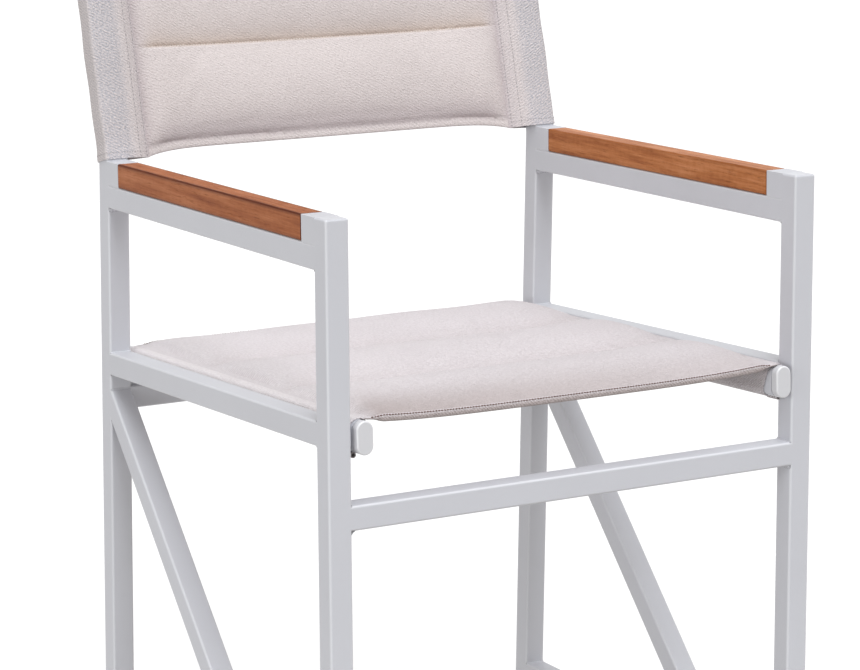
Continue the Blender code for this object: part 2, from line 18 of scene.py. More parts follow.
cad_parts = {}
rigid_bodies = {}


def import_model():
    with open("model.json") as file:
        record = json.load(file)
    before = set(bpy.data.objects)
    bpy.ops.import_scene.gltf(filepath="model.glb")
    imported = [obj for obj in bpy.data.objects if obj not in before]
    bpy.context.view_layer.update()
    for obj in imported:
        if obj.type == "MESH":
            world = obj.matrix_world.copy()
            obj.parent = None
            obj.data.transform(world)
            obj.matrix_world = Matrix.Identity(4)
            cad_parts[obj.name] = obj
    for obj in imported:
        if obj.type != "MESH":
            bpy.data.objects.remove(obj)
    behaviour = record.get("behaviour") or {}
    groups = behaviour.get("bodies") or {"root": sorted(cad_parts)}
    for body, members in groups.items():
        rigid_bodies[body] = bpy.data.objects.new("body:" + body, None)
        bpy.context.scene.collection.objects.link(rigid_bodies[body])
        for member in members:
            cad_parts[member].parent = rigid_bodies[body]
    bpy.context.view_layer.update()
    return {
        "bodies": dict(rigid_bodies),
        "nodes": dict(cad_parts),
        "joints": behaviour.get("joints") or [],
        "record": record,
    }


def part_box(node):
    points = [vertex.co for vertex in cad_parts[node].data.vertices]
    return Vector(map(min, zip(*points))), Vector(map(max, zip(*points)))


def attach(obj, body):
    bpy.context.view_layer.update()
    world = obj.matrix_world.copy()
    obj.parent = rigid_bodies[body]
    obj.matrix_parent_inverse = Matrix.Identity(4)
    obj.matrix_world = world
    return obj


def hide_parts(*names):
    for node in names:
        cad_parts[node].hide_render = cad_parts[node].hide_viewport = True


Array = np.ndarray
Colour = tuple[float, float, float]
Triple = tuple[float, float, float]
Size = tuple[float, float]

LOG = logging.getLogger("directors_chair")
FRAME_BODY = "frame"
BACK_BODY = "back_sling"
X_AXIS = np.array((1.0, 0.0, 0.0))
Y_AXIS = np.array((0.0, 1.0, 0.0))
Z_AXIS = np.array((0.0, 0.0, 1.0))
MILLIMETRE = 0.001
TINY = 1e-6


class Side(Enum):
    """A side of the chair, by the sign of its X."""

    LEFT = -1
    RIGHT = 1

    @property
    def word(self) -> str:
        """The side's name at the start of its nodes' names."""
        return self.name.lower()


class Slot(Enum):
    """The record's material slots."""

    COAT = "frame_coat"
    PLASTIC = "white_plastic"
    FOOT = "foot_plastic"
    WOOD = "armrest_wood"
    FABRIC = "sling_fabric"
    STEEL = "screw_steel"


def unit(vector: Array) -> Array:
    """A vector, or an array of them, at length one.

    Args:
        vector: Vectors along the last axis.

    Returns:
        The same directions with length one.
    """
    return vector / np.linalg.norm(vector, axis=-1, keepdims=True)


def square_to(along: Array) -> Array:
    """The direction a quarter turn from another in side view: up from a rail, forward from a leg."""
    return np.array((0.0, -along[2], along[1]))


def smooth_step(value: Array) -> Array:
    """Zero below 0, one above 1, and an S curve between them."""
    clipped = np.clip(value, 0.0, 1.0)
    return clipped * clipped * (3 - 2 * clipped)


@dataclass(frozen=True)
class Plane:
    """A flat cut, by a point on it and its normal."""

    point: Array
    normal: Array

    def moved(self, distance: float) -> "Plane":
        """The same plane, moved along its normal."""
        return Plane(self.point + self.normal * distance, self.normal)

    def meets(self, start: Array, along: Array) -> Array:
        """Where lines cross the plane.

        Args:
            start: A point on each line, shape (..., 3).
            along: The lines' common direction.

        Returns:
            The crossing points, in the shape of start.
        """
        run = (self.point - start) @ self.normal / (along @ self.normal)
        return start + run[..., None] * along


@dataclass(frozen=True)
class Profile:
    """A closed outline in its own plane, anticlockwise, with the outward direction at each point."""

    points: Array
    outward: Array

    def inset(self, distance: float) -> Array:
        """The outline drawn in by a distance."""
        return self.points - distance * self.outward

    def arrises(self) -> Array:
        """How near each point is to the middle of its corner: half a sine over each of the four arcs."""
        return np.tile(np.sin(np.linspace(0, math.pi, len(self.points) // 4)), 4)

    @staticmethod
    def rounded(
        width: float,
        height: float,
        radii: tuple[float, float, float, float],
        steps: int = 8,
        beside: float = 0.0,
    ) -> "Profile":
        """A rectangle with arcs for corners: each corner's centre plus its radius times a unit circle.

        Args:
            width: Size along the first axis.
            height: Size along the second axis.
            radii: Corner radii, anticlockwise from the corner where both axes are positive.
            steps: Straight pieces in each arc.
            beside: Where it isn't zero, each arc has one more point on both sides, this far along the flat.

        Returns:
            The outline, with an arc at each corner.
        """
        quarter = np.arange(4)
        signs = np.array(((1, 1), (-1, 1), (-1, -1), (1, -1)), float)
        radius = np.array(radii)[:, None]
        angle = (quarter[:, None] + np.linspace(0, 1, steps + 1)) * math.pi / 2
        outward = np.stack([np.cos(angle), np.sin(angle)], axis=-1)
        centre = signs * (np.array((width, height)) / 2 - radius)
        points = centre[:, None] + radius[:, None] * outward
        if beside:
            ahead = np.stack([-outward[..., 1], outward[..., 0]], axis=-1) * beside
            before, after = points[:, :1] - ahead[:, :1], points[:, -1:] + ahead[:, -1:]
            points = np.concatenate([before, points, after], axis=1)
            outward = np.concatenate([outward[:, :1], outward, outward[:, -1:]], axis=1)
        return Profile(points.reshape(-1, 2), outward.reshape(-1, 2))


class Shell:
    """A mesh gathered from patches, with cloth coordinates and tints where the patches have them."""

    def __init__(self) -> None:
        """Starts with nothing in it."""
        self.points: list[Array] = []
        self.tints: list[Array] = []
        self.tones: list[Array] = []
        self.faces: list[list[int]] = []
        self.corners: list[Array] = []
        self.count = 0

    def patch(
        self,
        grid: Array,
        wrap: bool = False,
        wrap_rows: bool = False,
        cloth: Array | None = None,
        tint: Array | float = 0.0,
        tone: Array | float = 0.0,
    ) -> Array:
        """Adds a grid of points with a face in each cell.

        Args:
            grid: Points, shape (rows, columns, 3).
            wrap: Whether the last column is joined to the first.
            wrap_rows: Whether the last row is joined to the first.
            cloth: Cloth coordinates in metres, shape (rows, columns, 2), one more where the grid joins.
            tint: How far the colour is drawn to a finish's crease or arris colour, for all or each point.
            tone: A second number, for all or each point, that each finish uses in its own way.

        Returns:
            The points' numbers, shape (rows, columns).
        """
        rows, columns = grid.shape[:2]
        number = self.add_points(grid, tint, tone).reshape(rows, columns)
        closed = np.concatenate([number, number[:, :1]], axis=1) if wrap else number
        closed = np.concatenate([closed, closed[:1]]) if wrap_rows else closed
        cells = cell_corners(closed)
        if cloth is None:
            cloth = np.zeros((*closed.shape, 2))
        self.faces += cells.reshape(-1, 4).tolist()
        self.corners.append(cell_corners(cloth).reshape(-1, 2))
        return number

    def add_points(self, points: Array, tint: Array | float = 0.0, tone: Array | float = 0.0) -> Array:
        """Adds points that no face uses yet.

        Args:
            points: The points, shape (..., 3).
            tint: Their tint, one for all or one each.
            tone: Their tone, in the same way.

        Returns:
            The points' numbers, shape (points,).
        """
        flat = points.reshape(-1, 3)
        number = self.count + np.arange(len(flat))
        self.count += len(flat)
        self.points.append(flat)
        self.tints.append(np.broadcast_to(tint, points.shape[:-1]).ravel())
        self.tones.append(np.broadcast_to(tone, points.shape[:-1]).ravel())
        return number

    def cap(self, *rings: Array) -> None:
        """Closes rings of points with one face each.

        Args:
            rings: Each ring's point numbers.
        """
        for ring in rings:
            self.faces.append(ring.tolist())
            self.corners.append(np.zeros((len(ring), 2)))

    def loft(self, rings: Array, tint: Array | float = 0.0, tone: Array | float = 0.0) -> None:
        """Adds a closed bar: rings of points joined in turn, with a face on the first and on the last."""
        number = self.patch(rings, wrap=True, tint=tint, tone=tone)
        self.cap(number[0], number[-1])

    def lofts(self, bars: Array) -> None:
        """Adds many alike bars at once, each closed at both ends.

        Args:
            bars: Their rings, shape (bars, rings, points, 3).
        """
        number = self.add_points(bars).reshape(bars.shape[:3])
        closed = np.concatenate([number, number[:, :, :1]], axis=2)
        cells = cell_corners(np.moveaxis(closed, 0, 2))
        quads = np.moveaxis(cells, 2, 3).reshape(-1, 4)
        self.faces += quads.tolist()
        self.corners.append(np.zeros((quads.size, 2)))
        self.cap(*number[:, 0], *number[:, -1])

    def build(self, name: str, crease_angle: float = math.radians(14)) -> bpy.types.Object:
        """Makes the object, with its faces outwards and smooth up to an angle.

        Args:
            name: The object's name.
            crease_angle: Faces that meet at more than this stay sharp.

        Returns:
            The object, linked to the scene.
        """
        mesh = bpy.data.meshes.new(name)
        mesh.from_pydata(np.concatenate(self.points), [], self.faces)
        cloth = mesh.uv_layers.new(name="cloth")
        cloth.data.foreach_set("uv", np.concatenate(self.corners).astype(np.float32).ravel())
        for word, parts in (("crease", self.tints), ("tone", self.tones)):
            shade = mesh.attributes.new(word, "FLOAT", "POINT")
            shade.data.foreach_set("value", np.concatenate(parts).astype(np.float32))
        solid = bmesh.new()
        solid.from_mesh(mesh)
        bmesh.ops.recalc_face_normals(solid, faces=solid.faces)
        solid.to_mesh(mesh)
        solid.free()
        mesh.shade_smooth()
        mesh.set_sharp_from_angle(angle=crease_angle)
        piece = bpy.data.objects.new(name, mesh)
        bpy.context.scene.collection.objects.link(piece)
        return piece


def cell_corners(grid: Array) -> Array:
    """The four corners of each cell of a grid, in turn round the cell."""
    return np.stack([grid[:-1, :-1], grid[:-1, 1:], grid[1:, 1:], grid[1:, :-1]], axis=2)


def bar(
    profile: Profile,
    through: Array,
    along: Array,
    cross: Array,
    cuts: tuple[Plane, Plane],
    ease: tuple[float, float] = (0.0, 0.0),
    steps: int = 6,
) -> Array:
    """Rings of a profile carried along a line between two cuts, with the ends' edges eased.

    At an eased end the rings follow a quarter circle: inset r (1 - sin a), and r (1 - cos a) from the cut.

    Args:
        profile: The outline; its first axis lies along cross.
        through: A point on the line.
        along: The line's direction.
        cross: A direction square to the line.
        cuts: The planes of the two ends.
        ease: The radius of the round edge at each end.
        steps: Straight pieces in each round edge.

    Returns:
        The rings, shape (rings, points, 3).
    """
    up = np.cross(along, cross)
    rings = []
    for cut, radius, inward in zip(cuts, ease, (1, -1)):
        turns = np.linspace(0, math.pi / 2, steps + 1) if radius else np.array([math.pi / 2])
        for turn in turns[::inward]:
            flat = profile.inset(radius * (1 - math.sin(turn)))
            base = through + flat[:, :1] * cross + flat[:, 1:] * up
            rings.append(cut.meets(base, along) + along * inward * radius * (1 - math.cos(turn)))
    return np.stack(rings)


class Value:
    """A shader socket that takes part in Python arithmetic."""

    def __init__(self, recipe: "Recipe", socket: bpy.types.NodeSocket) -> None:
        """Wraps a socket of a recipe's tree."""
        self.recipe = recipe
        self.socket = socket

    def maths(self, operation: str, *others: "Value | float", swapped: bool = False) -> "Value":
        """Adds a Math node on this value and others.

        Args:
            operation: The Math node's operation.
            others: The further operands.
            swapped: Whether this value is the second operand.

        Returns:
            The node's result.
        """
        operands = [self, *others]
        if swapped:
            operands.reverse()
        return self.recipe.node("ShaderNodeMath", {"operation": operation}, dict(enumerate(operands)))

    def __add__(self, other: "Value | float") -> "Value":
        """This value plus another."""
        return self.maths("ADD", other)

    def __radd__(self, other: float) -> "Value":
        """A number plus this value."""
        return self.maths("ADD", other)

    def __sub__(self, other: "Value | float") -> "Value":
        """This value less another."""
        return self.maths("SUBTRACT", other)

    def __rsub__(self, other: float) -> "Value":
        """A number less this value."""
        return self.maths("SUBTRACT", other, swapped=True)

    def __mul__(self, other: "Value | float") -> "Value":
        """This value times another."""
        return self.maths("MULTIPLY", other)

    def sine(self) -> "Value":
        """The sine of this value."""
        return self.maths("SINE")

    def clamped(self, low: float, high: float) -> "Value":
        """This value, kept between two numbers."""
        return self.maths("MAXIMUM", low).maths("MINIMUM", high)


class Recipe:
    """The node tree of one material, built round its Principled shader."""

    def __init__(self, name: str) -> None:
        """Makes an empty material with its shader.

        Args:
            name: The material's name.
        """
        self.material = bpy.data.materials.new(name)
        self.material.use_nodes = True
        self.tree = self.material.node_tree
        self.shader = self.tree.nodes["Principled BSDF"]

    def node(
        self,
        kind: str,
        settings: dict[str, object] | None = None,
        sockets: dict[str | int, object] | None = None,
        output: str | int = 0,
    ) -> Value:
        """Adds a node.

        Args:
            kind: The node's type.
            settings: The node's own settings, or a ramp's stops, which are set first.
            sockets: A value, or a Value to link, for each input by name or number.
            output: The output that is wanted.

        Returns:
            That output.
        """
        made = self.tree.nodes.new(kind)
        for name, setting in (settings or {}).items():
            if name == "stops":
                self.set_stops(made.color_ramp, setting)
            else:
                setattr(made, name, setting)
        for name, given in (sockets or {}).items():
            self.feed(made.inputs[name], given)
        return Value(self, made.outputs[output])

    def feed(self, socket: bpy.types.NodeSocket, given: object) -> None:
        """Links a Value to a socket, or sets the socket to a constant.

        Args:
            socket: The socket.
            given: The Value or the constant.
        """
        if isinstance(given, Value):
            self.tree.links.new(given.socket, socket)
        else:
            socket.default_value = given

    @staticmethod
    def set_stops(ramp: bpy.types.ColorRamp, stops: list[tuple[float, Colour]]) -> None:
        """Gives a colour ramp its stops.

        Args:
            ramp: The ramp.
            stops: Each stop's position and colour.
        """
        while len(ramp.elements) < len(stops):
            ramp.elements.new(1.0)
        for element, (position, colour) in zip(ramp.elements, stops):
            element.position = position
            element.color = (*colour, 1.0)

    def mixed(self, factor: "Value | float", first: object, second: object) -> Value:
        """A colour between two others.

        Args:
            factor: Zero for the first colour, one for the second.
            first: A colour or a Value.
            second: A colour or a Value.

        Returns:
            The mixed colour.
        """
        ends = [colour if isinstance(colour, Value) else (*colour, 1.0) for colour in (first, second)]
        return self.node("ShaderNodeMix", {"data_type": "RGBA"}, {0: factor, 6: ends[0], 7: ends[1]}, 2)

    def stained(self, factor: "Value | float", body: Value, stain: Colour) -> Value:
        """A colour multiplied by a stain, as far as the factor says."""
        settings = {"data_type": "RGBA", "blend_type": "MULTIPLY"}
        return self.node("ShaderNodeMix", settings, {0: factor, 6: body, 7: (*stain, 1.0)}, 2)

    def carried(self, word: str) -> Value:
        """A number that the mesh carries at its points."""
        return self.node("ShaderNodeAttribute", {"attribute_name": word}, output="Fac")

    def place(self, scale: Triple = (1.0, 1.0, 1.0), turn: Triple = (0.0, 0.0, 0.0)) -> Value:
        """The piece's own coordinates in metres, scaled and turned."""
        own = self.node("ShaderNodeTexCoord", output="Object")
        return self.node("ShaderNodeMapping", None, {"Vector": own, "Scale": scale, "Rotation": turn})

    def noise(self, where: Value, scale: float, detail: float = 3.0, roughness: float = 0.5) -> Value:
        """Noise between zero and one."""
        sockets = {"Vector": where, "Scale": scale, "Detail": detail, "Roughness": roughness}
        return self.node("ShaderNodeTexNoise", None, sockets, "Fac")

    def finish(self, bump: Value | None = None, depth: float = 0.0, **inputs: object) -> bpy.types.Material:
        """Feeds the shader.

        Args:
            bump: The surface's height, from zero to one.
            depth: What a height of one stands for, in metres.
            inputs: The shader's inputs, with spaces as underscores.

        Returns:
            The material.
        """
        for name, given in inputs.items():
            colour = name == "Base_Color" and not isinstance(given, Value)
            self.feed(self.shader.inputs[name.replace("_", " ")], (*given, 1.0) if colour else given)
        if bump is not None:
            normal = self.node("ShaderNodeBump", None, {"Height": bump, "Distance": depth, "Strength": 1.0})
            self.feed(self.shader.inputs["Normal"], normal)
        return self.material


@dataclass(frozen=True)
class PowderCoat:
    """Satin powder coat with faint grime. Tint lightens the arrises, a painted highlight, and tone darkens
    the welds' edges.
    """

    name: str
    colour: Colour
    shade: Colour
    arris: Colour
    gap: Colour
    roughness: float = 0.42
    cloud: float = 9.0
    cloud_grime: float = 0.6
    speck: float = 60.0
    speck_grime: float = 0.25
    peel: float = 700.0
    peel_depth: float = 0.00005

    def material(self) -> bpy.types.Material:
        """Builds the finish: broad clouds of grime with a few specks among them, over a fine orange peel.

        Returns:
            The material.
        """
        recipe = Recipe(self.name)
        own = recipe.place()
        cloud = recipe.noise(own, self.cloud, 4.0, 0.6)
        speck = recipe.noise(own, self.speck, 2.0)
        peel = recipe.noise(own, self.peel, 2.0)
        clouded = (cloud * 1.6 - 0.55).clamped(0.0, 1.0)
        specked = (speck * 5 - 3.2).clamped(0.0, 1.0)
        grime = clouded * self.cloud_grime + specked * self.speck_grime
        body = recipe.mixed(grime, self.colour, self.shade)
        # The crease tint mixes in the lighter arris colour, a painted highlight on the round edges.
        body = recipe.mixed(recipe.carried("crease"), body, self.arris)
        return recipe.finish(
            peel,
            self.peel_depth,
            Base_Color=recipe.mixed(recipe.carried("tone"), body, self.gap),
            Roughness=self.roughness + cloud * 0.1 - 0.05,
        )


@dataclass(frozen=True)
class Plastic:
    """Moulded plastic with a fine spark-eroded grain, and lighter arrises that are a painted highlight."""

    name: str
    colour: Colour
    shade: Colour
    arris: Colour
    roughness: float
    cloud: float = 45.0
    cloud_shade: float = 0.6
    grain: float = 1600.0
    grain_depth: float = 0.00004

    def material(self) -> bpy.types.Material:
        """Builds the finish: faint clouds under a fine grain.

        Returns:
            The material.
        """
        recipe = Recipe(self.name)
        own = recipe.place()
        cloud = recipe.noise(own, self.cloud, 3.0)
        grain = recipe.noise(own, self.grain, 1.0)
        body = recipe.mixed(cloud * self.cloud_shade, self.colour, self.shade)
        return recipe.finish(
            grain,
            self.grain_depth,
            # The crease tint mixes in the lighter arris colour, a painted highlight on the round edges.
            Base_Color=recipe.mixed(recipe.carried("crease"), body, self.arris),
            Roughness=self.roughness + cloud * 0.12 - 0.06,
        )


@dataclass(frozen=True)
class OiledWood:
    """Oiled hardwood with grain along Y. Tint darkens the arrises unevenly, and tone darkens the whole with
    a painted shade.
    """

    name: str
    light: Colour
    middle: Colour
    dark: Colour
    pore: Colour
    edge: Colour
    left_bar_shade: Colour
    lean: Triple = (0.0126, 0.0, 0.04)
    curl_turn: Triple = (0.6, 0.0, 0.5)
    figure_scale: Triple = (30.0, 3.4, 30.0)
    streak_scale: Triple = (360.0, 11.0, 360.0)
    curl_scale: Triple = (90.0, 150.0, 90.0)
    pore_scale: Triple = (800.0, 55.0, 800.0)
    middle_stop: float = 0.48
    pitting: float = 0.45
    grain_depth: float = 0.00025
    roughness: float = 0.46
    gloss: float = 0.12

    def material(self) -> bpy.types.Material:
        """Builds the finish: wide figure, narrow streaks, curl across them, and dark pores on top.

        Returns:
            The material.
        """
        recipe = Recipe(self.name)
        figure = recipe.noise(recipe.place(self.figure_scale, self.lean), 2.4, 4.0, 0.6)
        streak = recipe.noise(recipe.place(self.streak_scale, self.lean), 1.0, 5.0, 0.7)
        curl = recipe.noise(recipe.place(self.curl_scale, self.curl_turn), 1.0, 5.0, 0.7)
        pores = recipe.noise(recipe.place(self.pore_scale, self.lean), 1.0, 3.0, 0.6)
        tone = (figure * 1.5 + streak * 1.2 + curl * 0.4 - 1.05).clamped(0.0, 1.0)
        stops = [(0.0, self.dark), (self.middle_stop, self.middle), (1.0, self.light)]
        body = recipe.node("ShaderNodeValToRGB", {"stops": stops}, {"Fac": tone})
        pitted = ((pores - 0.57) * 6).clamped(0.0, 1.0)
        # Tone multiplies the colour by a painted shade, which darkens the left bar all over.
        stained = recipe.stained(recipe.carried("tone"), body, self.left_bar_shade)
        worn = recipe.mixed(pitted * self.pitting, stained, self.pore)
        arris = recipe.carried("crease") * (streak * 1.6 + curl * 0.8 - 0.2).clamped(0.4, 1.0)
        return recipe.finish(
            streak * 0.6 - pitted * 0.4 + 0.4,
            self.grain_depth,
            Base_Color=recipe.mixed(arris, worn, self.edge),
            Roughness=self.roughness + pitted * 0.2 - tone * 0.08,
            Specular_IOR_Level=self.gloss,
        )


@dataclass(frozen=True)
class TwillCloth:
    """Off-white twill on the piece's cloth coordinates: slanting ribs, broken into short uneven floats.

    Tint draws it to the crease colour, a painted shade. Tone above zero multiplies it by the sleeve colour,
    which is a painted shade on the seat's sleeves and greys the back's sleeves. Tone below zero multiplies
    it
    by the seam colour: a painted shade above the back's middle seam, and a painted light on the seat's
    left, where that colour is above one.
    """

    name: str
    light: Colour
    dark: Colour
    sleeve: Colour
    seam: Colour
    crease: Colour
    rib: float = 0.0030
    slant: float = math.radians(28.0)
    floats: Triple = (230.0, 560.0, 1.0)
    depth: float = 0.0006
    ribbing: float = 0.14
    waver: float = 120.0
    fibre: float = 620.0
    cloud: float = 14.0
    roughness: float = 0.94
    sheen: float = 0.1
    sheen_roughness: float = 0.6

    def material(self) -> bpy.types.Material:
        """Builds the finish: a sine across the ribs that wavers, broken by drawn-out noise and loose fibre.

        Returns:
            The material.
        """
        recipe = Recipe(self.name)
        cloth = recipe.node("ShaderNodeUVMap", {"uv_map": "cloth"})
        turn = (0.0, 0.0, self.slant)
        turned = recipe.node("ShaderNodeMapping", None, {"Vector": cloth, "Rotation": turn})
        drawn = recipe.node("ShaderNodeMapping", None, {"Vector": turned, "Scale": self.floats})
        across_ribs = recipe.node("ShaderNodeSeparateXYZ", None, {0: turned}, 1)
        waver = recipe.noise(cloth, self.waver, 2.0)
        ribs = (across_ribs * (2 * math.pi / self.rib) + waver * 5.0).sine()
        floats = recipe.noise(drawn, 1.0, 1.0)
        fibre = recipe.noise(cloth, self.fibre, 3.0, 0.6)
        cloud = recipe.noise(cloth, self.cloud, 4.0, 0.6)
        weave = (ribs * self.ribbing + floats * 1.6 + fibre * 0.9 - 0.75).clamped(0.0, 1.0)
        tone = (weave * 0.8 + cloud * 0.4 - 0.1).clamped(0.0, 1.0)
        body = recipe.mixed(tone, self.dark, self.light)
        # Tone paints shade and light: the sleeve colour is shade on the seat's sleeves, and the seam colour
        # is shade above the back's seam and light on the seat's left.
        carried = recipe.carried("tone")
        sleeve = carried.clamped(0.0, 1.0) * (1.25 - weave * 1.3).clamped(0.0, 1.0)
        body = recipe.stained(sleeve, body, self.sleeve)
        body = recipe.stained((carried * -1).clamped(0.0, 1.0), body, self.seam)
        return recipe.finish(
            weave,
            self.depth,
            # The crease tint is painted shade in the seams, the hems and the valleys beside the sleeves.
            Base_Color=recipe.mixed(recipe.carried("crease"), body, self.crease),
            Roughness=self.roughness - weave * 0.08,
            Sheen_Weight=self.sheen,
            Sheen_Roughness=self.sheen_roughness,
        )


@dataclass(frozen=True)
class Thread:
    """Sewing thread with a fine, uneven ply."""

    name: str
    colour: Colour
    shade: Colour
    ply: float = 900.0
    ply_depth: float = 0.0001
    roughness: float = 0.7

    def material(self) -> bpy.types.Material:
        """Builds the finish: noise as fine as the ply, in colour and height.

        Returns:
            The material.
        """
        recipe = Recipe(self.name)
        ply = recipe.noise(recipe.place(), self.ply, 1.0)
        colour = recipe.mixed(ply, self.shade, self.colour)
        return recipe.finish(ply, self.ply_depth, Base_Color=colour, Roughness=self.roughness)


@dataclass(frozen=True)
class ScrewSteel:
    """Stainless steel with fine marks."""

    name: str
    colour: Colour
    marks: Triple = (3000.0, 3000.0, 400.0)
    mark_depth: float = 0.00002
    roughness: float = 0.28

    def material(self) -> bpy.types.Material:
        """Builds the finish: fine drawn-out noise in roughness and height.

        Returns:
            The material.
        """
        recipe = Recipe(self.name)
        marks = recipe.noise(recipe.place(self.marks), 1.0, 2.0)
        worn = self.roughness + marks * 0.2
        return recipe.finish(marks, self.mark_depth, Base_Color=self.colour, Metallic=1.0, Roughness=worn)


COAT = PowderCoat(
    "white_powder_coat",
    colour=(0.600, 0.606, 0.648),
    shade=(0.550, 0.555, 0.594),
    # arris: the lighter colour of the round edges, a painted highlight.
    arris=(0.665, 0.670, 0.705),
    gap=(0.120, 0.120, 0.130),
)
WHITE_PLASTIC = Plastic(
    "white_plastic",
    colour=(0.650, 0.650, 0.675),
    shade=(0.600, 0.600, 0.625),
    # arris: a painted highlight on the caps' and plugs' round edges.
    arris=(0.74, 0.74, 0.76),
    roughness=0.36,
)
FOOT_PLASTIC = Plastic(
    "grey_foot_plastic",
    colour=(0.50, 0.50, 0.51),
    shade=(0.40, 0.40, 0.41),
    # arris: a painted highlight on the pads' round edges.
    arris=(0.56, 0.56, 0.57),
    roughness=0.6,
)
WOOD = OiledWood(
    "oiled_hardwood",
    light=(0.64, 0.266, 0.110),
    middle=(0.464, 0.159, 0.047),
    dark=(0.250, 0.062, 0.013),
    pore=(0.060, 0.016, 0.005),
    edge=(0.080, 0.012, 0.002),
    # A painted shade that darkens the left bar all over.
    left_bar_shade=(0.79, 0.675, 0.60),
)
SEAT_TWILL = TwillCloth(
    "seat_twill",
    light=(0.735, 0.690, 0.710),
    dark=(0.560, 0.512, 0.528),
    # sleeve: painted shade below the seat's edge; seam, above one: painted light on the left. crease:
    # painted shade.
    sleeve=(0.57, 0.55, 0.535),
    seam=(1.22, 1.235, 1.22),
    crease=(0.40, 0.335, 0.325),
    rib=0.0027,
    slant=math.radians(48.0),
    floats=(300.0, 520.0, 1.0),
    depth=0.0008,
    ribbing=0.30,
)
BACK_TWILL = TwillCloth(
    "back_twill",
    light=(0.725, 0.658, 0.648),
    dark=(0.540, 0.484, 0.476),
    sleeve=(0.683, 0.75, 0.833),
    # seam: a painted tan shade above the middle seam; crease: painted shade.
    seam=(0.84, 0.72, 0.58),
    crease=(0.40, 0.335, 0.360),
    floats=(380.0, 620.0, 1.0),
)
BROWN_THREAD = Thread("brown_thread", (0.17, 0.085, 0.065), (0.09, 0.045, 0.035))
WHITE_THREAD = Thread("white_thread", (0.95, 0.93, 0.91), (0.75, 0.72, 0.70))
GREY_THREAD = Thread("grey_thread", (0.40, 0.37, 0.38), (0.27, 0.25, 0.26))
STEEL = ScrewSteel("screw_steel", (0.60, 0.60, 0.60))


Finish = PowderCoat | Plastic | OiledWood | TwillCloth | Thread | ScrewSteel


class Dresser:
    """Gives pieces their finish, their body and the nodes they stand for."""

    def __init__(self) -> None:
        """Starts with no finish made."""
        self.made: dict[str, bpy.types.Material] = {}

    def finish(self, finish: Finish) -> bpy.types.Material:
        """The material of a finish, made once.

        Args:
            finish: The finish.

        Returns:
            Its material.
        """
        if finish.name not in self.made:
            self.made[finish.name] = finish.material()
        return self.made[finish.name]

    def dress(
        self,
        piece: bpy.types.Object,
        finish: Finish,
        slot: Slot,
        nodes: tuple[str, ...] = (),
        body: str = FRAME_BODY,
    ) -> bpy.types.Object:
        """Finishes a new piece and ties it to the frame.

        Args:
            piece: The piece.
            finish: Its finish.
            slot: The record's slot that it belongs to; not used.
            nodes: The nodes that it stands for.
            body: The body that it moves with.

        Returns:
            The piece.
        """
        piece.data.materials.append(self.finish(finish))
        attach(piece, body)
        if nodes:
            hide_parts(*nodes)
        LOG.info("%s: %d faces, on %s", piece.name, len(piece.data.polygons), body)
        return piece

    def repaint(self, node: bpy.types.Object, finish: Finish) -> None:
        """Gives a node that stays its finish.

        Args:
            node: The node's object.
            finish: Its finish.
        """
        material = self.finish(finish)
        for place in node.material_slots:
            place.material = material
        LOG.info("%s keeps its shape, in %s", node.name, finish.name)


def flatten_faces(piece: bpy.types.Object) -> bpy.types.Object:
    """Weights a hard piece's normals by area, so that its flats stay flat beside their round edges.

    Args:
        piece: The piece.

    Returns:
        The same piece.
    """
    weighted = piece.modifiers.new("flat_faces", "WEIGHTED_NORMAL")
    weighted.keep_sharp = True
    return piece


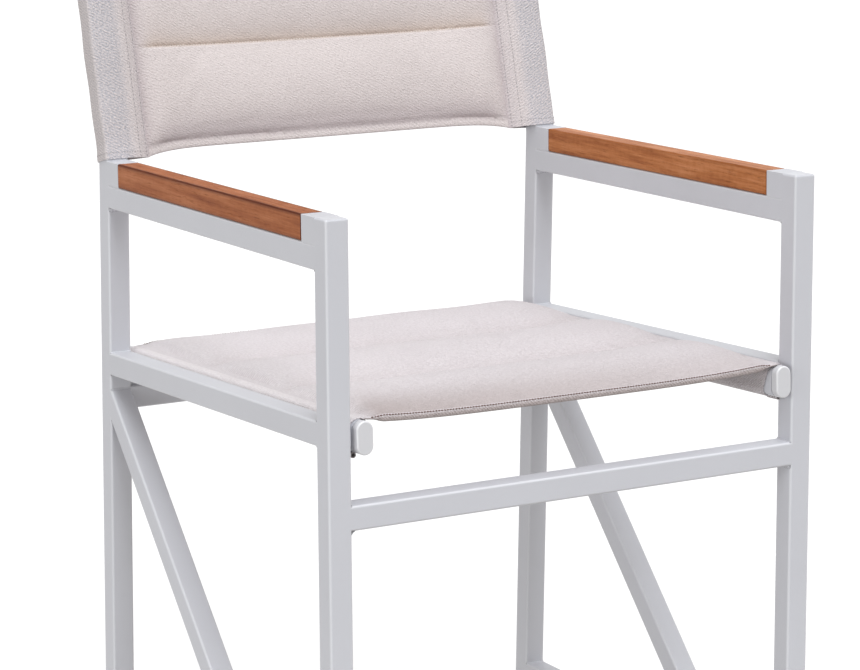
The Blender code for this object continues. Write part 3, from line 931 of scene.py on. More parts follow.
@dataclass(frozen=True)
class SideView:
    """The chair's lines in side view, as the solids have them; y is zero at the front of the front legs."""

    front_y: float
    tube: float = 0.025
    corner: float = 0.0025
    width: float = 0.565
    depth: float = 0.509
    arm_height: float = 0.640
    arm_slope: float = 0.0126
    seat_height: float = 0.4948
    seat_slope: float = 0.0425
    rear_leg_slope: float = 0.0364
    front_rail_drop: float = 0.0828
    rear_rail_drop: float = 0.0618
    brace_drop: float = 0.0636
    brace_angle: float = math.radians(46.05)
    bend_drop: float = 0.0048
    back_lean: float = math.radians(14.4)
    wood_height: float = 0.026
    gap: float = 0.0003
    foot_pad: float = 0.0035
    back_stand: float = 0.004
    back_height: float = 0.2415

    def at(self, y: float, z: float) -> Array:
        """A point of the side view on the chair's middle plane."""
        return np.array((0.0, self.front_y + y, z))

    @property
    def leg_up(self) -> Array:
        """Up along a rear leg."""
        return unit(np.array((0.0, -self.rear_leg_slope, 1.0)))

    @property
    def post_up(self) -> Array:
        """Up along a back post."""
        return np.array((0.0, math.sin(self.back_lean), math.cos(self.back_lean)))

    @property
    def arm_along(self) -> Array:
        """To the rear along an arm rail."""
        return unit(np.array((0.0, 1.0, -self.arm_slope)))

    @property
    def seat_along(self) -> Array:
        """To the rear along a seat rail."""
        return unit(np.array((0.0, 1.0, -self.seat_slope)))

    @property
    def brace_up(self) -> Array:
        """Up along a side brace."""
        return np.array((0.0, math.cos(self.brace_angle), math.sin(self.brace_angle)))

    @property
    def floor_cut(self) -> Plane:
        """The legs' lower ends."""
        return Plane(self.at(0, self.foot_pad), Z_AXIS)

    @property
    def base_top(self) -> Plane:
        """The top of the base rails."""
        return self.floor_cut.moved(self.tube)

    @property
    def front_leg_front(self) -> Plane:
        """The front faces of the front legs."""
        return Plane(self.at(0, 0), Y_AXIS)

    @property
    def front_leg_rear(self) -> Plane:
        """The rear faces of the front legs."""
        return Plane(self.at(self.tube, 0), Y_AXIS)

    @property
    def rear_leg_front(self) -> Plane:
        """The front faces of the rear legs."""
        return Plane(self.at(self.depth, self.arm_height), square_to(self.leg_up))

    @property
    def rear_leg_rear(self) -> Plane:
        """The rear faces of the rear legs."""
        return self.rear_leg_front.moved(-self.tube)

    @property
    def arm_under(self) -> Plane:
        """The underside of the arm rails."""
        return Plane(self.at(0, self.arm_height), square_to(self.arm_along))

    @property
    def wood_top(self) -> Plane:
        """The top of the armrests."""
        return self.arm_under.moved(self.tube + self.gap + self.wood_height)

    @property
    def seat_top(self) -> Plane:
        """The top of the seat rails."""
        return Plane(self.at(0, self.seat_height), square_to(self.seat_along))

    @property
    def brace_top(self) -> Plane:
        """The upper face of the braces."""
        level = Plane(self.at(0, self.seat_height - self.brace_drop), Z_AXIS)
        return Plane(level.meets(self.rear_leg_front.point, self.leg_up), square_to(self.brace_up))

    @property
    def rear_leg_axis(self) -> Array:
        """A point on a rear leg's axis, on the middle plane."""
        return self.rear_leg_front.moved(-self.tube / 2).point

    @property
    def bend(self) -> Array:
        """Where a rear leg's axis turns into the back post."""
        return self.wood_top.moved(-self.bend_drop).meets(self.rear_leg_axis, self.leg_up)

    @property
    def post_top(self) -> Plane:
        """The upper ends of the back posts."""
        return Plane(self.bend, self.post_up).moved(self.back_stand + self.back_height)

    @property
    def side_centre(self) -> float:
        """From the middle plane to the middle of a side frame."""
        return (self.width - self.tube) / 2

    @property
    def inner_half(self) -> float:
        """From the middle plane to the inner face of a side frame."""
        return self.width / 2 - self.tube

    def side_middle(self, side: Side) -> Array:
        """The middle of a side frame, on the X axis."""
        return X_AXIS * side.value * self.side_centre

    def square_profile(self) -> Profile:
        """The outline of the frame's square tube."""
        return Profile.rounded(self.tube, self.tube, (self.corner,) * 4)


@dataclass(frozen=True)
class WeldedFrame:
    """The white frame: square tubes that run a little into each other, so that flush faces join."""

    lines: SideView
    dresser: Dresser
    sink: float = 0.0024
    leg_top_ease: float = 0.0024
    block: float = 0.0254
    joint_line: float = 0.0012
    plug: float = 0.004
    plug_ease: float = 0.002
    foot_ease: float = 0.0006
    fillet: float = 0.0013
    arm_fillet: float = 0.0042
    rail_fillet_low: float = 0.0040
    block_ease: float = 0.0008
    weld_size: float = 0.86
    weld_scale: float = 0.22
    weld_scales: float = 11.0
    weld_waver: float = 0.07
    weld_waves: Size = (3.0, 7.0)
    weld_taper: float = 0.3
    weld_taper_power: int = 12
    weld_dark: float = 0.35
    weld_hollow: float = 0.36
    weld_stations: int = 73
    weld_steps: int = 6
    weld_clear: float = 0.0006
    weld_root: float = 0.0016
    weld_sink: float = 0.0012
    weld_crease: float = math.radians(40.0)
    side_seed: int = 17
    rail_seed: int = 31

    def build(self) -> None:
        """Builds both side frames and the two rails between them."""
        for side in Side:
            self.side_tubes(side)
            self.plugs(side)
            self.arm_blocks(side)
            self.side_welds(side)
        self.cross_rails()

    def tube(
        self,
        name: str,
        rings: Array,
        nodes: tuple[str, ...],
        finish: Finish = COAT,
        slot: Slot = Slot.COAT,
    ) -> bpy.types.Object:
        """Makes one hard piece from its rings.

        Args:
            name: The piece's name.
            rings: Its rings.
            nodes: The nodes that it stands for.
            finish: Its finish.
            slot: The record's slot that it belongs to.

        Returns:
            The piece.
        """
        shell = Shell()
        # The arris tint paints a highlight along the piece's round edges.
        shell.loft(rings, self.lines.square_profile().arrises())
        return self.dresser.dress(flatten_faces(shell.build(name)), finish, slot, nodes)

    def side_tubes(self, side: Side) -> None:
        """The tubes of one side frame: legs, rails and brace.

        Args:
            side: The side of the chair.
        """
        lines = self.lines
        half = lines.tube / 2
        square = lines.square_profile()
        here = lines.side_middle(side)
        into_front = lines.front_leg_rear.moved(-self.sink)
        into_rear = lines.rear_leg_front.moved(-self.sink)

        leg = bar(
            square,
            here + lines.at(half, 0),
            Z_AXIS,
            X_AXIS,
            (lines.floor_cut, lines.wood_top),
            (0.0, self.leg_top_ease),
        )
        self.tube(
            f"{side.word}_front_leg_tube", leg, (f"{side.word}_front_leg", f"{side.word}_front_leg_cap")
        )

        mitre = Plane(lines.bend, unit(lines.leg_up + lines.post_up))
        lower = bar(square, here + lines.rear_leg_axis, lines.leg_up, X_AXIS, (lines.floor_cut, mitre))
        upper = bar(square, here + lines.bend, lines.post_up, X_AXIS, (mitre, lines.post_top))
        rings = np.concatenate([lower, upper[1:]])
        self.tube(f"{side.word}_rear_leg_tube", rings, (f"{side.word}_rear_leg", f"{side.word}_back_post"))

        runs = {
            "arm_rail": (lines.arm_under.moved(half), lines.arm_along, (into_front, into_rear)),
            "seat_rail": (lines.seat_top.moved(-half), lines.seat_along, (into_front, into_rear)),
            "base_rail": (lines.base_top.moved(-half), Y_AXIS, (into_front, into_rear)),
            "side_brace": (
                lines.brace_top.moved(-half),
                lines.brace_up,
                (lines.base_top.moved(-self.sink), into_rear),
            ),
        }
        for word, (axis, along, cuts) in runs.items():
            rings = bar(square, here + axis.point, along, X_AXIS, cuts)
            self.tube(f"{side.word}_{word}_tube", rings, (f"{side.word}_{word}",))

    def plugs(self, side: Side) -> None:
        """The plugs in the post's top and in the legs' feet.

        Args:
            side: The side of the chair.
        """
        lines = self.lines
        square = lines.square_profile()
        here = lines.side_middle(side)
        top = lines.post_top
        rings = bar(
            square,
            here + lines.bend,
            lines.post_up,
            X_AXIS,
            (top.moved(lines.gap), top.moved(self.plug)),
            (0.0, self.plug_ease),
        )
        self.tube(
            f"{side.word}_post_plug", rings, (f"{side.word}_back_post_plug",), WHITE_PLASTIC, Slot.PLASTIC
        )
        floor = Plane(lines.at(0, 0), Z_AXIS)
        front = lines.at(lines.tube / 2, 0)
        rear = lines.floor_cut.meets(lines.rear_leg_axis, lines.leg_up)
        for word, place in (("front", front), ("rear", rear)):
            rings = bar(
                square,
                here + place,
                Z_AXIS,
                X_AXIS,
                (floor, lines.floor_cut.moved(-lines.gap)),
                (self.foot_ease, 0.0),
            )
            node = f"{side.word}_{word}_foot"
            self.tube(f"{node}_pad", rings, (node,), FOOT_PLASTIC, Slot.FOOT)

    def arm_blocks(self, side: Side) -> None:
        """The white blocks at the wood's ends: flush with the rail in front, with a joint line at the rear.

        Args:
            side: The side of the chair.
        """
        lines = self.lines
        here = lines.side_middle(side)
        front = lines.front_leg_rear.moved(lines.gap)
        rear = lines.rear_leg_front.moved(lines.gap)
        top = lines.wood_top
        middle = here + top.moved(-lines.wood_height / 2).point
        ease = (0.0, self.block_ease)
        for word, leg, inward, down in (
            ("front", front, 1, self.sink),
            ("rear", rear, -1, self.joint_line),
        ):
            height = lines.wood_height + lines.gap + down
            radii = (lines.corner, lines.corner, lines.gap, lines.gap)
            profile = Profile.rounded(lines.tube, height, radii)
            axis = here + top.moved(-height / 2).point
            end = Plane(leg.meets(middle, lines.arm_along), lines.arm_along)
            cuts = (leg.moved(-self.sink - lines.gap), end.moved(inward * self.block))
            rings = bar(profile, axis, lines.arm_along, X_AXIS, cuts[::inward], ease[::inward])
            node = f"{side.word}_arm_{word}_block"
            self.tube(f"{node}_cover", rings, (node,))

    def cross_rails(self) -> None:
        """The front and rear rail, with the welds at their ends."""
        lines = self.lines
        half = lines.tube / 2
        square = lines.square_profile()
        reach = lines.inner_half + self.sink
        cuts = (Plane(-X_AXIS * reach, X_AXIS), Plane(X_AXIS * reach, X_AXIS))
        front_top = lines.seat_height - lines.front_rail_drop
        rear_level = Plane(lines.at(0, lines.seat_height - lines.rear_rail_drop), Z_AXIS)
        rear_axis = rear_level.meets(lines.rear_leg_axis, lines.leg_up) - lines.leg_up * half
        welds = Shell()
        chance = np.random.default_rng(self.rail_seed)
        for word, axis, up in (
            ("front_rail", lines.at(half, front_top - half), Z_AXIS),
            ("rear_rail", rear_axis, lines.leg_up),
        ):
            across = np.cross(X_AXIS, up)
            rings = bar(square, axis, X_AXIS, across, cuts)
            self.tube(f"{word}_tube", rings, (word,))
            for side in Side:
                for way, leg in ((1, self.fillet), (-1, self.rail_fillet_low)):
                    corner = axis + X_AXIS * side.value * lines.inner_half + up * way * half
                    faces = (-X_AXIS * side.value, up * way)
                    rings, dark = self.weld(corner, faces, across, leg, chance)
                    welds.loft(rings, tone=dark)
        self.dresser.dress(welds.build("rail_welds", self.weld_crease), COAT, Slot.COAT)

    def side_welds(self, side: Side) -> None:
        """The welds in the inner corners of one side frame.

        Args:
            side: The side of the chair.
        """
        lines = self.lines
        here = lines.side_middle(side)
        arm_low = lines.arm_under
        seat_high = lines.seat_top
        seat_low = lines.seat_top.moved(-lines.tube)
        brace_high = lines.brace_top
        brace_low = lines.brace_top.moved(-lines.tube)
        front, rear, base = lines.front_leg_rear, lines.rear_leg_front, lines.base_top
        rearward, forward, up, down = lines.arm_along, -lines.arm_along, lines.leg_up, -lines.leg_up
        corners = (
            (front, arm_low, rearward, -Z_AXIS),
            (front, seat_high, lines.seat_along, Z_AXIS),
            (front, seat_low, lines.seat_along, -Z_AXIS),
            (front, base, Y_AXIS, Z_AXIS),
            (rear, arm_low, forward, down),
            (rear, seat_high, -lines.seat_along, up),
            (rear, seat_low, -lines.seat_along, down),
            (rear, brace_high, -lines.brace_up, up),
            (rear, brace_low, -lines.brace_up, down),
            (rear, base, -Y_AXIS, up),
            (base, brace_high, -Y_AXIS, lines.brace_up),
            (base, brace_low, Y_AXIS, lines.brace_up),
        )
        welds = Shell()
        chance = np.random.default_rng(self.side_seed + side.value)
        for first, second, along_second, along_first in corners:
            crossing = first.meets(second.point, np.cross(X_AXIS, second.normal))
            leg = self.arm_fillet if first is rear and second is arm_low else self.fillet
            rings, dark = self.weld(here + crossing, (along_second, along_first), X_AXIS, leg, chance)
            welds.loft(rings, tone=dark)
        name = f"{side.word}_frame_welds"
        self.dresser.dress(welds.build(name, self.weld_crease), COAT, Slot.COAT)

    def weld(
        self,
        corner: Array,
        faces: tuple[Array, Array],
        across: Array,
        leg: float,
        chance: np.random.Generator,
    ) -> tuple[Array, Array]:
        """Rings of a weld in a corner: a nearly flat curve between two faces, carried across the tube.

        The curve is quadratic, from one face to the other, drawn a little towards the corner. Its size
        follows a rectified sine along the weld, which makes the bead's overlapping scales, with a slow
        waver on top and a drop at both ends. Behind the skin the ring closes inside the tubes.

        Args:
            corner: The middle of the corner's line.
            faces: Directions along the two faces, away from the corner.
            across: The corner line's direction.
            leg: How far the weld reaches along each face.
            chance: Where the bead's unevenness comes from.

        Returns:
            The rings, shape (rings, points, 3), and how dark their edges are, shape (rings, points).
        """
        run = np.linspace(-1, 1, self.weld_stations)
        reach = (self.lines.tube / 2 - self.weld_clear) * run
        scales = np.abs(np.sin(run * self.weld_scales + chance.uniform(0, 3)))
        waver = sum(np.sin(run * wave + chance.uniform(0, 6)) for wave in self.weld_waves)
        size = leg * (self.weld_size + self.weld_scale * scales + self.weld_waver * waver)
        size = size * (1 - self.weld_taper * np.abs(run) ** self.weld_taper_power)
        share = np.linspace(0, 1, self.weld_steps + 1)[:, None]
        curve = (1 - share) ** 2 * faces[0] + share**2 * faces[1]
        curve = curve + 2 * share * (1 - share) * self.weld_hollow * (faces[0] + faces[1])
        inward = -unit(faces[0] + faces[1])
        skin = size[:, None, None] * curve
        root = np.broadcast_to(inward * self.weld_root, (self.weld_stations, 1, 3))
        sunk = skin[:, [0, -1]] + inward * self.weld_sink
        ring = np.concatenate([root, sunk[:, :1], skin, sunk[:, 1:]], axis=1)
        edges = np.pad(np.zeros(self.weld_steps - 1), (3, 2), constant_values=1.0)
        dark = edges * (self.weld_dark + (1 - self.weld_dark) * (1 - scales[:, None]))
        return corner + ring + reach[:, None, None] * across, dark


@dataclass(frozen=True)
class Armrests:
    """The wooden bars on the arm rails, and the flush heads of the screws that hold them from below."""

    lines: SideView
    dresser: Dresser
    ease: float = 0.0018
    end_ease: float = 0.0014
    end_steps: int = 4
    arris: float = 0.0026
    left_arris: float = 1.0
    right_arris: float = 0.35
    low_arris: float = 0.45
    head: float = 0.0038
    head_sink: float = 0.0014
    head_proud: float = 0.00015
    head_rim: float = 0.9
    head_flat: float = 0.6
    head_crease: float = math.radians(30.0)
    socket: float = 0.0014
    socket_taper: float = 0.97
    socket_depth: float = 0.0011
    sides: int = 36

    def build(self) -> None:
        """Builds both bars and their screws."""
        for side in Side:
            self.bar(side)
            for word in ("front", "rear"):
                self.screw(f"{side.word}_{word}_armrest_screw")

    def bar(self, side: Side) -> None:
        """One wooden bar, darker on the left by a painted shade. The tint follows the root of a half sine
        over each arris.

        Args:
            side: The side of the chair.
        """
        lines = self.lines
        node = f"{side.word}_armrest"
        profile = Profile.rounded(lines.tube, lines.wood_height, (self.ease,) * 4, beside=self.arris)
        low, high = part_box(node)
        centre = np.array((low + high) / 2)
        lean = lines.wood_height * lines.arm_slope / 2
        start = Plane(np.array((0.0, low.y, centre[2])), lines.arm_along).moved(lean)
        end = Plane(np.array((0.0, high.y, centre[2])), lines.arm_along).moved(-lean)
        ease = (self.end_ease,) * 2
        rings = bar(profile, centre, lines.arm_along, X_AXIS, (start, end), ease, self.end_steps)
        left = side is Side.LEFT
        around = np.sqrt(profile.arrises().clip(0))
        around[: len(around) // 2] *= self.low_arris
        tint = np.broadcast_to(around, rings.shape[:2]).copy()
        tint[: self.end_steps] = 1.0
        tint[-self.end_steps :] = 1.0
        shell = Shell()
        # Tone one paints shade over the whole left bar.
        shell.loft(rings, tint * (self.left_arris if left else self.right_arris), float(left))
        self.dresser.dress(flatten_faces(shell.build(f"{node}_bar")), WOOD, Slot.WOOD, (node,))

    def screw(self, node: str) -> None:
        """One screw head: rings of a circle that turn into a hexagon at the socket.

        Args:
            node: The node that it stands for.
        """
        low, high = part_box(node)
        middle = np.array((low + high) / 2)
        up = square_to(self.lines.arm_along)
        face = self.lines.arm_under.meets(middle, up)
        angle = np.arange(self.sides) * 2 * math.pi / self.sides
        sixth = math.pi / 3
        hexagon = self.socket / np.cos((angle + sixth / 2) % sixth - sixth / 2)
        round_head = np.full(self.sides, self.head)
        rings = (
            (round_head, self.head_sink),
            (round_head, 0.0),
            (round_head * self.head_rim, -self.head_proud),
            (round_head * self.head_flat, -self.head_proud),
            (hexagon, -self.head_proud),
            (hexagon * self.socket_taper, self.socket_depth),
        )
        circle = np.cos(angle)[:, None] * X_AXIS + np.sin(angle)[:, None] * self.lines.arm_along
        shell = Shell()
        shell.loft(np.stack([face + up * height + radius[:, None] * circle for radius, height in rings]))
        piece = shell.build(f"{node}_head", self.head_crease)
        self.dresser.dress(piece, STEEL, Slot.STEEL, (node,))


@dataclass(frozen=True)
class SeatTubes:
    """The obround tubes that carry the seat, with their end caps and lugs."""

    lines: SideView
    dresser: Dresser
    nodes: dict[str, bpy.types.Object]
    width: float = 0.018
    height: float = 0.0335
    lug: float = 0.004
    arc_steps: int = 12
    cap: float = 0.0102
    cap_ease: float = 0.0017
    cap_steps: int = 6
    inner_ease: float = 0.0003
    groove: float = 0.0010
    groove_depth: float = 0.0013
    proud: float = 0.0042
    bare: float = 0.0095

    @property
    def centre(self) -> float:
        """From the middle plane to a tube's axis."""
        return self.lines.inner_half - self.lug - self.width / 2

    def axis(self, side: Side) -> Array:
        """A point on a tube's axis."""
        return X_AXIS * side.value * self.centre + self.lines.seat_top.moved(-self.height / 2).point

    def ends(self, side: Side) -> tuple[Plane, Plane]:
        """The planes of a tube's ends.

        Args:
            side: The side of the chair.

        Returns:
            The front and the rear end, both facing to the rear.
        """
        lines = self.lines
        reach = self.cap - self.proud
        front = lines.front_leg_front.meets(self.axis(side), lines.seat_along)
        rear = lines.rear_leg_rear.meets(self.axis(side), lines.seat_along)
        return (
            Plane(front, lines.seat_along).moved(reach),
            Plane(rear, lines.seat_along).moved(-reach),
        )

    def profile(self, grow: float = 0.0) -> Profile:
        """The tube's outline, grown on all sides."""
        width, height = self.width + 2 * grow, self.height + 2 * grow
        return Profile.rounded(width, height, (width / 2,) * 4, self.arc_steps)

    def build(self) -> None:
        """Builds both tubes and their caps, and repaints the lugs."""
        lines = self.lines
        for side in Side:
            ends = self.ends(side)
            axis = self.axis(side)
            shell = Shell()
            shell.loft(bar(self.profile(), axis, lines.seat_along, X_AXIS, ends))
            node = f"{side.word}_seat_tube"
            self.dresser.dress(flatten_faces(shell.build(f"{node}_skin")), COAT, Slot.COAT, (node,))
            for word, end, outward in zip(("front", "rear"), ends, (-1, 1)):
                self.end_cap(f"{side.word}_seat_tube_{word}_cap", axis, end, outward)
            for word in ("front", "rear"):
                self.dresser.repaint(self.nodes[f"{side.word}_{word}_seat_lug"], COAT)

    def end_cap(self, node: str, axis: Array, end: Plane, outward: int) -> None:
        """One cap: the tube's outline with a round outer edge, and a narrow groove against the tube.

        Args:
            node: The node that it stands for.
            axis: A point on the tube's axis.
            end: The tube's end.
            outward: Which way along the tube the cap lies.
        """
        along = self.lines.seat_along
        rim = (end.moved(outward * self.groove), end.moved(outward * self.cap))
        ease = (self.inner_ease, self.cap_ease)
        head = bar(self.profile(), axis, along, X_AXIS, rim[::outward], ease[::outward], self.cap_steps)
        neck = bar(self.profile(-self.groove_depth), axis, along, X_AXIS, (end, rim[0])[::outward])
        rings = np.concatenate([neck, head] if outward > 0 else [head, neck])
        # The cap's outer round edge gets the tint, which paints a highlight there.
        tint = np.zeros(len(rings))
        outer = slice(-self.cap_steps, -1) if outward > 0 else slice(1, self.cap_steps)
        tint[outer] = 1.0
        shell = Shell()
        shell.loft(rings, tint[:, None])
        self.dresser.dress(flatten_faces(shell.build(f"{node}_skin")), WHITE_PLASTIC, Slot.PLASTIC, (node,))


@dataclass(frozen=True)
class Cover:
    """A padded panel's points, cloth coordinates, tints and tones, and which points its sewing holds."""

    points: Array
    cloth: Array
    tint: Array
    tone: Array
    held: Array

    def add_to(self, shell: Shell, placed: Array) -> None:
        """Adds the panel to a shell, closed at both sides.

        Args:
            shell: What the panel is added to.
            placed: Where its points end up, in the shape of its points.
        """
        number = shell.patch(placed, wrap=True, cloth=self.cloth, tint=self.tint, tone=self.tone)
        shell.cap(number[0], number[-1])


@dataclass(frozen=True)
class PaddedPanel:
    """A padded panel of sewn channels, hung between two sides.

    Each row of its grid lies at one place across the chair and goes once round the panel: over the top
    sheet from the first hem to the last, round the last hem, back along the under sheet, and round the
    first hem.
    """

    half_width: float
    length: float
    channels: int
    sag: float
    crown: float
    belly: float
    hem: float
    hem_thickness: float
    setback: float
    edge: float
    margin: float
    side_painted_shade: float
    seed: int
    sheet: float = 0.0024
    fade: float = 0.045
    flatness: float = 2.2
    across_count: int = 91
    side_rows: float = 0.45
    channel_steps: int = 26
    seam_rows: float = 0.6
    hem_steps: int = 8
    hem_round: float = 0.7
    sag_power: int = 4
    setback_power: int = 8
    hold: float = 0.004
    pucker: float = 0.0005
    pucker_wave: float = 0.019
    pucker_reach: float = 0.012
    pucker_start: float = 0.003
    pucker_bend: float = 1.5
    pucker_bend_wave: float = 37.0
    # shade and first_shade paint shade into the cloth's colour, first_slant makes it stronger on the left,
    # and pale paints light along the left side.
    shade: float = 0.22
    shade_reach: float = 0.008
    shade_fade: float = 0.025
    first_shade: float = 0.0
    first_reach: float = 0.03
    sway: float = 0.0006
    sway_waves: tuple[Size, ...] = ((41.0, 0.0), (23.0, 31.0), (13.0, -19.0))
    seam_tan_shade: float = 0.0
    seam_fill: float = 0.0
    seam_width: float = 0.012
    # The hem's tint is a painted shade on the lower half of its roll.
    hem_tint: float = 0.35
    hem_tint_from: float = 0.75
    hem_tint_fade: float = 0.6
    hem_rise: float = 0.03
    side_reach: float = 0.0045
    side_rise: float = 0.5
    level: float = 0.0
    first_slant: float = 0.0
    pale: float = 0.0
    pale_reach: float = 0.09

    @property
    def pitch(self) -> float:
        """The length of a channel."""
        return (self.length - 2 * self.hem) / self.channels

    def runs(self) -> Array:
        """How far along each column of a sheet lies, channel by channel.

        Returns:
            Distances from the first edge, closer together at the seams.
        """
        eased = closer_ends(self.channel_steps + 1, self.seam_rows)
        starts = self.hem + self.pitch * np.arange(self.channels)[:, None]
        return np.append((starts + self.pitch * eased[None, :-1]).ravel(), self.length - self.hem)

    def from_seam(self, runs: Array) -> Array:
        """The distance from each place along to the nearest seam or hem."""
        return np.abs((runs - self.hem + self.pitch / 2) % self.pitch - self.pitch / 2)

    def stations(self) -> Array:
        """Places across the panel: a blend of even steps and a sine.

        Returns:
            Distances from the middle plane, closer together at the sides.
        """
        share = np.linspace(-1, 1, self.across_count)
        closer = np.sin(share * math.pi / 2)
        return self.half_width * (self.side_rows * closer + (1 - self.side_rows) * share)

    def padding(self, inside: Array, run: Array) -> Array:
        """How full the padding is: a superellipse along each channel, times a power of a parabola across.

        Beside an inner seam a bell curve fills the groove up again by a share.

        Args:
            inside: Distance from the nearer side.
            run: Distance along the panel.

        Returns:
            The fullness, from zero at a hem to one in the middle of a channel.
        """
        place = np.abs(2 * ((run - self.hem) / self.pitch % 1.0) - 1)
        along = (1 - place**self.flatness) ** (1 / self.flatness)
        inner = self.hem + self.pitch * np.arange(1, self.channels)
        bell = np.exp(-(((run[:, None] - inner) / self.seam_width) ** 2)).max(axis=1)
        along = along + self.seam_fill * bell * (1 - along)
        spread = np.clip((inside - self.margin) / self.fade, 0.0, 1.0)
        return along * (spread * (2 - spread)) ** self.side_rise

    def sheets(self, x: Array, runs: Array) -> tuple[Array, Array]:
        """Both sheets' heights: sag, layers, padding with a slow swell of sines, and puckers at the seams.

        Args:
            x: Places across, shape (across, 1).
            runs: Places along, shape (runs,).

        Returns:
            The top and the under sheet's heights, shape (across, runs).
        """
        inside = self.half_width - np.abs(x)
        phase = np.random.default_rng(self.seed).uniform(0, 2 * math.pi, 4)
        waves = 0.0
        for (across, along), turn in zip(self.sway_waves, phase):
            waves = waves + np.sin(x * across + runs * along + turn)
        full = self.padding(inside, runs)
        sway = self.sway * waves * full
        seam = self.from_seam(runs)
        bend = self.pucker_bend * np.sin(x * self.pucker_bend_wave + phase[3])
        ripple = np.sin(2 * math.pi * x / self.pucker_wave + bend)
        reach = np.exp(-seam / self.pucker_reach) * np.clip(seam / self.pucker_start, 0, 1)
        pucker = self.pucker * ripple * reach * smooth_step(inside / self.fade)
        middle, layers = self.middle(x, runs / self.length), self.layers(x)
        top = middle + layers / 2 + full * self.crown + sway + pucker
        return top, middle - layers / 2 - full * self.belly + sway

    def middle(self, x: Array, share: Array | float) -> Array:
        """How far the panel hangs below its sides, less towards the last hem where that is drawn level."""
        return -self.sag * (1 - self.level * share) * (1 - (np.abs(x) / self.half_width) ** self.sag_power)

    def layers(self, x: Array) -> Array:
        """The cloth's thickness without padding, thinner where a side is tucked into its sleeve."""
        inside = self.half_width - np.abs(x)
        return self.edge + (self.sheet - self.edge) * np.clip(inside / self.hem, 0.0, 1.0)

    def tints(self, x: Array, runs: Array) -> tuple[Array, Array]:
        """Crease tint and tone of a sheet, painted shade: both strongest past each seam, with a tint beside
        the sleeves.

        A tone below zero, a painted light, is also laid along the left side, dying out as an exponential.

        Args:
            x: Places across, shape (across, 1).
            runs: Places along, shape (runs,).

        Returns:
            Tint and tone, shape (across, runs).
        """
        inside = self.half_width - np.abs(x)
        past = (runs - self.hem) % self.pitch
        past = np.where(runs > self.length - self.hem - TINY, 1.0, past)
        faded = smooth_step(inside / self.shade_fade)
        seams = np.exp(-past / self.shade_reach) * faded
        # A painted shade on the slope past the first hem, stronger towards the left.
        first = self.first_shade * np.exp(-((runs - self.hem) / self.first_reach) ** 2)
        first = first * (1 - self.first_slant * (1 + x / self.half_width))
        across = np.maximum(self.shade * seams, first * faded)
        tint = np.maximum(across, self.side_painted_shade * np.exp(-inside / self.side_reach))
        # The seams' tone is a painted tan shade, and the left side's tone below zero is a painted light.
        sewn = self.seam_tan_shade * seams * (runs > self.hem + self.pitch / 2)
        return tint, -sewn - self.pale * np.exp(-(self.half_width + x) / self.pale_reach)

    def build(self) -> Cover:
        """The panel before it is blown up, in its own frame: X across, Y along, Z out of the top sheet.

        A hem's roll is a superellipse, and the hems are drawn in by a power curve between the sides.

        Returns:
            The panel.
        """
        runs = self.runs()
        x = self.stations()[:, None]
        inside = self.half_width - np.abs(x)
        top, under = self.sheets(x, runs)
        risen = smooth_step((inside - self.margin) / self.hem_rise)
        thick = self.layers(x) + (self.hem_thickness - self.sheet) * risen
        turn = np.linspace(0, math.pi, self.hem_steps + 1)
        bulge = np.sign(np.cos(turn)) * np.abs(np.cos(turn)) ** self.hem_round
        nose = np.sin(turn) ** self.hem_round * self.hem / 2
        y = np.concatenate([runs, self.length - self.hem / 2 + nose, runs[::-1], self.hem / 2 - nose])
        y = np.broadcast_to(y, (len(x), len(y)))
        roll = thick / 2 * bulge
        last, first = self.middle(x, 1) + roll, self.middle(x, 0) - roll
        z = np.concatenate([top, last, under[:, ::-1], first], axis=1)
        drawn = 1 - (np.abs(x) / self.half_width) ** self.setback_power
        set_in = self.setback * drawn * (1 - 2 * y / self.length)
        points = np.stack([np.broadcast_to(x, y.shape), y + set_in, z], axis=-1)

        around = travelled(points[len(x) // 2])
        around = np.append(around, around[-1] + self.hem / 4)
        cloth = np.stack(np.broadcast_arrays(x, around[None]), axis=-1)
        tint, tone = self.tints(x, runs)
        # A painted shade on the lower half of each hem's roll.
        below = smooth_step((self.hem_tint_from - bulge) / self.hem_tint_fade)
        low = np.broadcast_to(self.hem_tint * below, roll.shape)
        tint = np.concatenate([tint, low, tint[:, ::-1], low[:, ::-1]], axis=1)
        plain = np.zeros_like(low)
        tone = np.concatenate([tone, plain, tone[:, ::-1], plain], axis=1)
        seam, hem = self.from_seam(runs), np.zeros_like(turn)
        sewn = np.concatenate([seam, hem, seam, hem]) < TINY
        return Cover(points, cloth, tint, tone, sewn[None] | (inside < self.margin + self.hold))

    def seam_columns(self) -> Array:
        """Which columns of the top sheet lie on a sewn seam between two channels."""
        return np.arange(1, self.channels) * self.channel_steps

    def hem_columns(self) -> tuple[int, int]:
        """Which columns lie on the upper edge of the hems' rolls.

        Returns:
            The first hem's column and the last hem's.
        """
        rows = len(self.runs())
        turned = self.hem_steps // 4
        return 2 * rows + 2 * (self.hem_steps + 1) - 1 - turned, rows + turned


